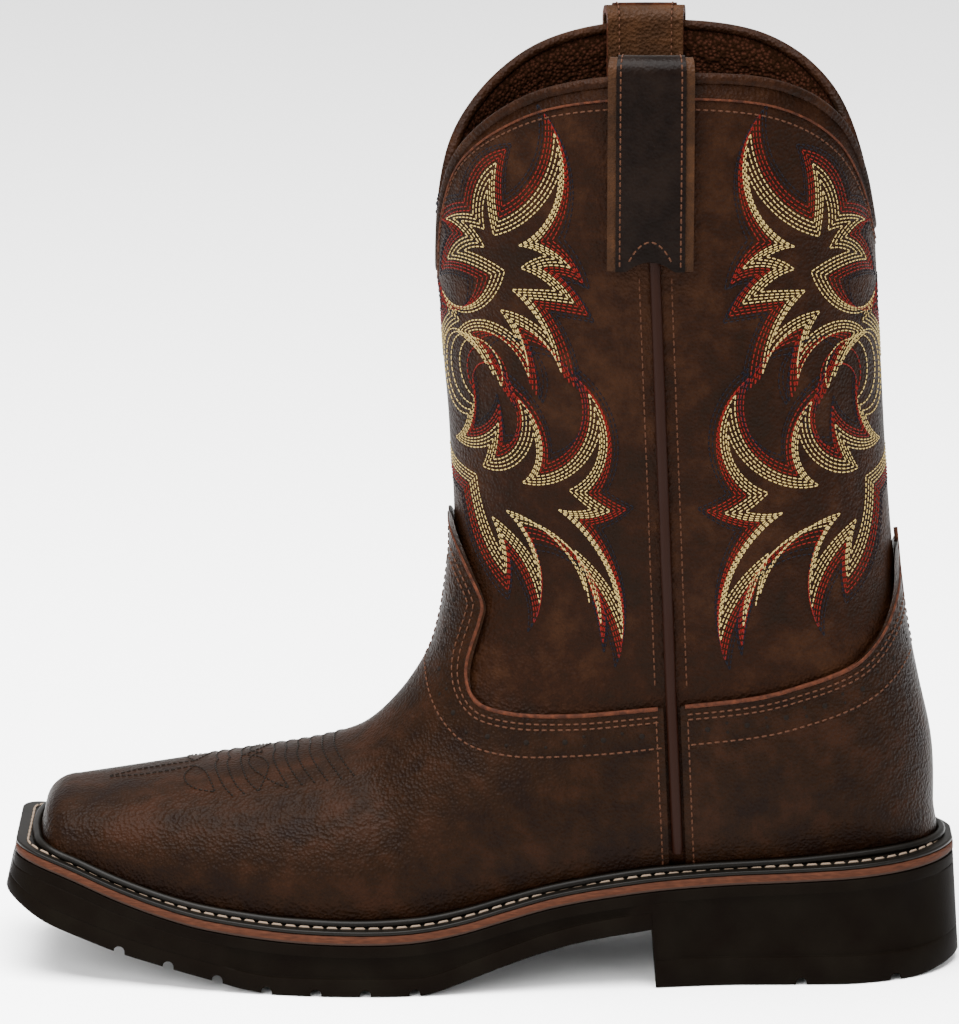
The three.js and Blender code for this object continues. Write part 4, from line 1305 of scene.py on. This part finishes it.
turning = chords[:-1, 0] * chords[1:, 1] - chords[:-1, 1] * chords[1:, 0]
is_tip = np.concatenate(([False], turning > 0, [False]))
chord_left = np.column_stack((-chords[:, 1], chords[:, 0])) / chord_length[:, None]
arc_radius = chord_length**2 / (8 * np.abs(bows)) + np.abs(bows) / 2
arc_centre = (corners[:-1] + corners[1:]) / 2 + chord_left * (bows - arc_radius * np.sign(bows))[:, None]


def meeting(centre_a, radius_a, centre_b, radius_b, near):
    """Where two circles cross, close to a point; between them where they miss each other."""
    gap_between = centre_b - centre_a
    span = np.linalg.norm(gap_between)
    along = (span**2 + radius_a**2 - radius_b**2) / (2 * span)
    foot = centre_a + gap_between * along / span
    rise = math.sqrt(max(radius_a**2 - along**2, 0))
    aside = np.array([-gap_between[1], gap_between[0]]) / span * rise
    return min((foot + aside, foot - aside), key=lambda spot: np.linalg.norm(spot - near))


def on_heel_line(centre, radius, near):
    """Where a circle crosses the end of the chart, close to a point."""
    rise = math.sqrt(max(radius**2 - (line_end - centre[0]) ** 2, 0))
    tops = [np.array([line_end, centre[1] + way * rise]) for way in (1, -1)]
    return min(tops, key=lambda spot: np.linalg.norm(spot - near))


def flame_rows(count):
    """For each row outwards, its stitches' starts and ends on the chart. A row's corners are where
    the last row's arcs, grown by a step, meet; a sharp tip moves along its middle line instead."""
    spots = corners.copy()
    made = []
    for k in range(count):
        radius = arc_radius - np.sign(bows) * row_step * k
        if k:
            inner = [
                meeting(arc_centre[i - 1], radius[i - 1], arc_centre[i], radius[i], spots[i])
                for i in range(1, len(bows))
            ]
            first = on_heel_line(arc_centre[0], radius[0], spots[0])
            last = on_heel_line(arc_centre[-1], radius[-1], spots[-1])
            move = np.array([first, *inner, last]) - spots
            lengths = np.linalg.norm(move, axis=1) * np.linalg.norm(tip_move, axis=1)
            astray = is_tip & (np.sum(move * tip_move, axis=1) < 0.55 * lengths)
            move = np.where(astray[:, None], tip_move, move)
            reach = np.maximum(np.linalg.norm(move, axis=1, keepdims=True), 0.01)
            limit = np.where(is_tip, tip_steps[k - 1], valley_step)[:, None]
            spots = spots + move * np.minimum(1, limit / reach)
        starts, ends = [], []
        for i, bow in enumerate(bows):
            chord = spots[i + 1] - spots[i]
            span = max(np.linalg.norm(chord), 0.01)
            turned_radius = max(radius[i], span / 2 + 0.01)
            to_centre = math.sqrt(turned_radius**2 - span**2 / 4)
            far_side = -1 if 2 * abs(bow) > chord_length[i] else 1
            left = np.array([-chord[1], chord[0]]) / span
            centre = spots[i] + chord / 2 - left * np.sign(bow) * to_centre * far_side
            spoke = spots[i] - centre
            spoke_after = spots[i + 1] - centre
            angle = math.atan2(spoke[1], spoke[0])
            sweep = (math.atan2(spoke_after[1], spoke_after[0]) - angle) % (2 * math.pi)
            sweep = sweep - 2 * math.pi if bow > 0 else sweep
            length = abs(sweep) * turned_radius
            if np.dot(chord, chords[i]) < 0 or length < shortest_run:
                continue
            steps = max(int(round(length / flame_pitch)), 1)
            middle = (np.arange(steps) + 0.5) / steps
            for share, store in ((-flame_reach, starts), (flame_reach, ends)):
                turned = angle + sweep * (middle + share / steps)
                ring = np.column_stack((np.cos(turned), np.sin(turned)))
                store.append(centre + turned_radius * ring + (row_drift * k, 0))
        made.append((np.concatenate(starts), np.concatenate(ends)))
    return made


chart_heights = np.linspace(95, 315, 56)
chart_shares = np.linspace(0, 1, 41)


def quarter_lattice(side, ahead):
    """Where the chart's lattice lies on one quarter of the leg: u and v, at even distances."""
    low_ring = np.linspace(foot_count - 4, top_section, 300)
    rim = form(low_ring, 0 * low_ring + (0 if ahead else 0.5))
    edge = np.interp(chart_heights, rim[:, 2], rim[:, 0])
    seam = seam_x((chart_heights - leg_up(0)) / leg_rise)
    turn = np.sin(np.linspace(0, 1, 161) * math.pi / 2) * 0.9999
    x = seam[:, None] + (edge - seam)[:, None] * turn
    z = chart_heights[:, None] + 0 * x
    u, v = side_place(x, z, side)
    spots = skin(u, v)
    steps = np.linalg.norm(np.diff(spots, axis=1), axis=2)
    length = np.concatenate((np.zeros((len(x), 1)), np.cumsum(steps, 1)), 1)
    even_u = [np.interp(chart_shares * length[i, -1], length[i], u[i]) for i in range(len(x))]
    even_v = [np.interp(chart_shares * length[i, -1], length[i], v[i]) for i in range(len(x))]
    return np.array(even_u), np.array(even_v)


def on_leg(lattice, spots):
    """Places on the leg of chart spots, with the outward directions there."""
    column_at = np.clip(spots[:, 0] / chart_width, 0, 1) * (len(chart_shares) - 1)
    row_at = np.interp(spots[:, 1], chart_heights, np.arange(len(chart_heights)))
    i = np.minimum(row_at.astype(int), len(chart_heights) - 2)
    j = np.minimum(column_at.astype(int), len(chart_shares) - 2)
    p, q = row_at - i, column_at - j
    u, v = [
        part[i, j] * (1 - p) * (1 - q) + part[i + 1, j] * p * (1 - q)
        + part[i, j + 1] * (1 - p) * q + part[i + 1, j + 1] * p * q
        for part in lattice
    ]
    return skin(u, v), normal(u, v)


# Embroidery thread: cream and red stand out from the leather, navy shows only as a dark rim.
flame_dyes = {
    "cream": waxed("embroidery thread, cream", "7c6b40"),
    "red": waxed("embroidery thread, red", "470906"),
    "navy": waxed("embroidery thread, navy", "06070d"),
}
all_rows = flame_rows(flame_threads[-1][2])
for side in (1, -1):
    lattices = [quarter_lattice(side, ahead) for ahead in (False, True)]
    for dye, first, last in flame_threads:
        quarters = []
        for lattice in lattices:
            for starts, ends in all_rows[first:last]:
                inside = (starts[:, 0] < chart_width) & (ends[:, 0] < chart_width)
                spots_a, out = on_leg(lattice, starts[inside])
                quarters.append((spots_a, on_leg(lattice, ends[inside])[0], out))
        side_name = "outer" if side > 0 else "inner"
        sew(f"flame_{dye}_{side_name}", quarters, 0.42, flame_dyes[dye])

# Collar binding. A strip of the leg's leather is rolled over its upper edge and sewn through both
# sides with one row of brown thread; the strip's own cut edge shows rust red above the row.
roll_press = 0.45
wrap_depth = 2.6
collar_stitch_depth = 4.4
section_rise = 27
edge_places = round_places(np.linspace(0, 1, 240, endpoint=False))
edge_row = collar(edge_places)
edge_ring = skin(edge_row, edge_places, -wall / 2)
ahead = unit(np.roll(edge_ring, -1, 0) - np.roll(edge_ring, 1, 0))
upwards = unit(np.cross(normal(edge_row, edge_places), ahead))
upwards = upwards * np.sign(upwards[:, 2:])
binding_path = edge_ring + upwards * (binding_radius - roll_press)
binding = piece("collar_roll", tube(binding_path, binding_radius, closed=True, sides=4), leg_leather)
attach(binding, "root")
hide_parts("collar_binding")
wrap_line = skin(edge_row - wrap_depth / section_rise, edge_places, 0.05)
wrap_edge = piece("collar_wrap_edge", tube(wrap_line, 0.4, closed=True), raw_edge)
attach(wrap_edge, "root")
around_edge = np.append(edge_places, edge_places[0])
stitch_row = np.append(edge_row, edge_row[0]) - collar_stitch_depth / section_rise
collar_row = row_of(skin(stitch_row, around_edge, 0), normal(stitch_row, around_edge), 2.5)
sew("collar_stitching", [collar_row], 0.6, brown_thread)

# Pull straps. A doubled strip of leather on each side, looped over the collar and sewn to the leg
# outside and inside; its raw edges are rust red.
strap_width = 26.9
strap_thickness = 2.6
strap_loop = 5.2
strap_notch = 3.4
strap_at = 0.322
strap_foot = 0.763
strap_inside = 0.87
strap_columns = 22
strap_row_place = 0.7
strap_pitch = 2.4
strap_out = binding_radius - wall / 2 + 2 * gap + 0.2 + strap_thickness
strap_in = -binding_radius - wall / 2 - 2 * gap - strap_thickness
bend = (strap_out - strap_in) / 2
bend_z = leg_up(1) + strap_loop - bend


def strap_spot(across, t, side, lift=0.0):
    """A place on the strap's outer face, raised by a lift: t below 1 outside, up to 2 in the bend,
    then inside."""
    x = x_at(strap_at) + across * strap_width / 2
    notch = strap_notch * np.maximum(0, 1 - (across / 0.55) ** 2)
    start = leg_up(strap_foot) + notch
    rise = start + (bend_z - start) * np.clip(t, 0, 1)
    fall = bend_z + (leg_up(strap_inside) - bend_z) * np.clip(t - 2, 0, 1)
    turn = np.clip(t - 1, 0, 1) * math.pi
    z = np.where(t < 1, rise, np.where(t < 2, bend_z, fall))
    offset = (strap_out + strap_in) / 2 + (bend + lift) * np.cos(turn)
    u, v = side_place(x, z, side)
    spot = form(u, v) + offset[..., None] * normal(u, v)
    spot[..., 2] += (bend + lift) * np.sin(turn)
    return spot


# Strap leather: plain and a little lighter than the leg. Its face is waxed almost black, smooth, with
# a faint shine.
strap_leather = hide(
    "strap leather, brown", 33.33, (0.38, "150b05"), (0.5, "1f1209"), (0.62, "2a190d"),
)
face_leather = hide(
    "strap face leather, almost black, waxed", 38.46, (0.38, "040201"), (0.5, "060302"), (0.62, "0b0604"),
    shine=(0.3, 0.46), depth=0.00015,
)

# Each layer: its name, share of the width, lift, thickness, leather and share of the length.
layers = (
    ("pull_strap", 1, 0, strap_thickness, strap_leather, 1),
    ("strap_face", 0.8, 0.7, 0.9, face_leather, 0.66),
)
rows_along = np.concatenate(
    [np.linspace(0, 1, 40), np.linspace(1, 2, 26)[1:], np.linspace(2, 3, 16)[1:]]
)
for name, side in (("outer", 1), ("inner", -1)):
    for layer, share, lift, thickness, leather, length in layers:

        def strap_shape(s, t):
            along = np.interp(t * length, np.linspace(0, 1, len(rows_along)), rows_along)
            return strap_spot(share * (2 * s - 1), along, side, lift).T

        bm = grid(strap_columns, len(rows_along) - 1, strap_shape)
        bmesh.ops.recalc_face_normals(bm, faces=bm.faces)
        bm.faces.ensure_lookup_table()
        if bm.faces[strap_columns * 5].normal.y * side < 0:
            bmesh.ops.reverse_faces(bm, faces=bm.faces)
        strap = piece(f"{layer}_{name}", bm, leather, raw_edge)
        solid(strap, thickness, edge=1)
        strap.data.set_sharp_from_angle(angle=math.radians(50))
        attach(strap, "root")
        if layer == "pull_strap":
            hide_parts(f"strap_{name}")
    strap_rows = []
    fine_rows = np.linspace(0.02, 2.9, 260)
    for across in (-strap_row_place, strap_row_place):
        path = strap_spot(across + 0 * fine_rows, fine_rows, side, 0.75)
        higher = strap_spot(across + 0 * fine_rows, fine_rows, side, 1.75)
        strap_rows.append(row_of(path, unit(higher - path), strap_pitch))
    arc = np.linspace(-0.5, 0.5, 40)
    arc_rise = 0.04 + 0.07 * (1 - (arc / 0.5) ** 2)
    path = strap_spot(arc, arc_rise, side, 0.75)
    higher = strap_spot(arc, arc_rise, side, 1.75)
    strap_rows.append(row_of(path, unit(higher - path), strap_pitch))
    sew(f"strap_stitching_{name}", strap_rows, 0.6, brown_thread)

# Floor, light and camera. A pale matt floor in an evenly white studio, with a large soft box over the
# boot and two weak ones before and behind it; a long lens looks from the outer side, a little from
# above.
floor_paint = surface("floor, pale")
shade(floor_paint, Base_Color=linear("fafafa"), Roughness=0.9)
floor_mesh = bmesh.new()
bmesh.ops.create_grid(floor_mesh, x_segments=1, y_segments=1, size=9000)
floor = piece("floor", floor_mesh, floor_paint)

world = bpy.data.worlds.new("studio")
bpy.context.scene.world = world
world.use_nodes = True
world.node_tree.nodes["Background"].inputs["Color"].default_value = (1, 1, 1, 1)
world.node_tree.nodes["Background"].inputs["Strength"].default_value = 1.35


def soft_box(name, place, aim, size, power):
    light = bpy.data.lights.new(name, "AREA")
    light.shape = "RECTANGLE"
    light.size, light.size_y = size
    light.energy = power
    made = bpy.data.objects.new(name, light)
    made.location = place
    made.rotation_euler = (Vector(aim) - Vector(place)).to_track_quat("-Z", "Y").to_euler()
    bpy.context.scene.collection.objects.link(made)


boot_middle = (0.1, 0, 0.15)
soft_box("over", (0.25, 0.3, 1.6), boot_middle, (1.6, 1.2), 220)
soft_box("front", (0.9, 1.5, 0.9), boot_middle, (0.9, 1.1), 34)
soft_box("fill", (-1.1, 1.6, 0.5), boot_middle, (1.0, 1.0), 8)

camera_tilt = math.radians(13)
camera_distance = 2.6
aim = Vector((0.1033, 0, 0.1522))
lens = bpy.data.cameras.new("camera")
lens.lens = 274.2
camera = bpy.data.objects.new("camera", lens)
back = Vector((0, math.cos(camera_tilt), math.sin(camera_tilt)))
camera.location = aim + back * camera_distance
camera.rotation_euler = (-back).to_track_quat("-Z", "Y").to_euler()
lens.clip_end = 100
bpy.context.scene.collection.objects.link(camera)
bpy.context.scene.camera = camera
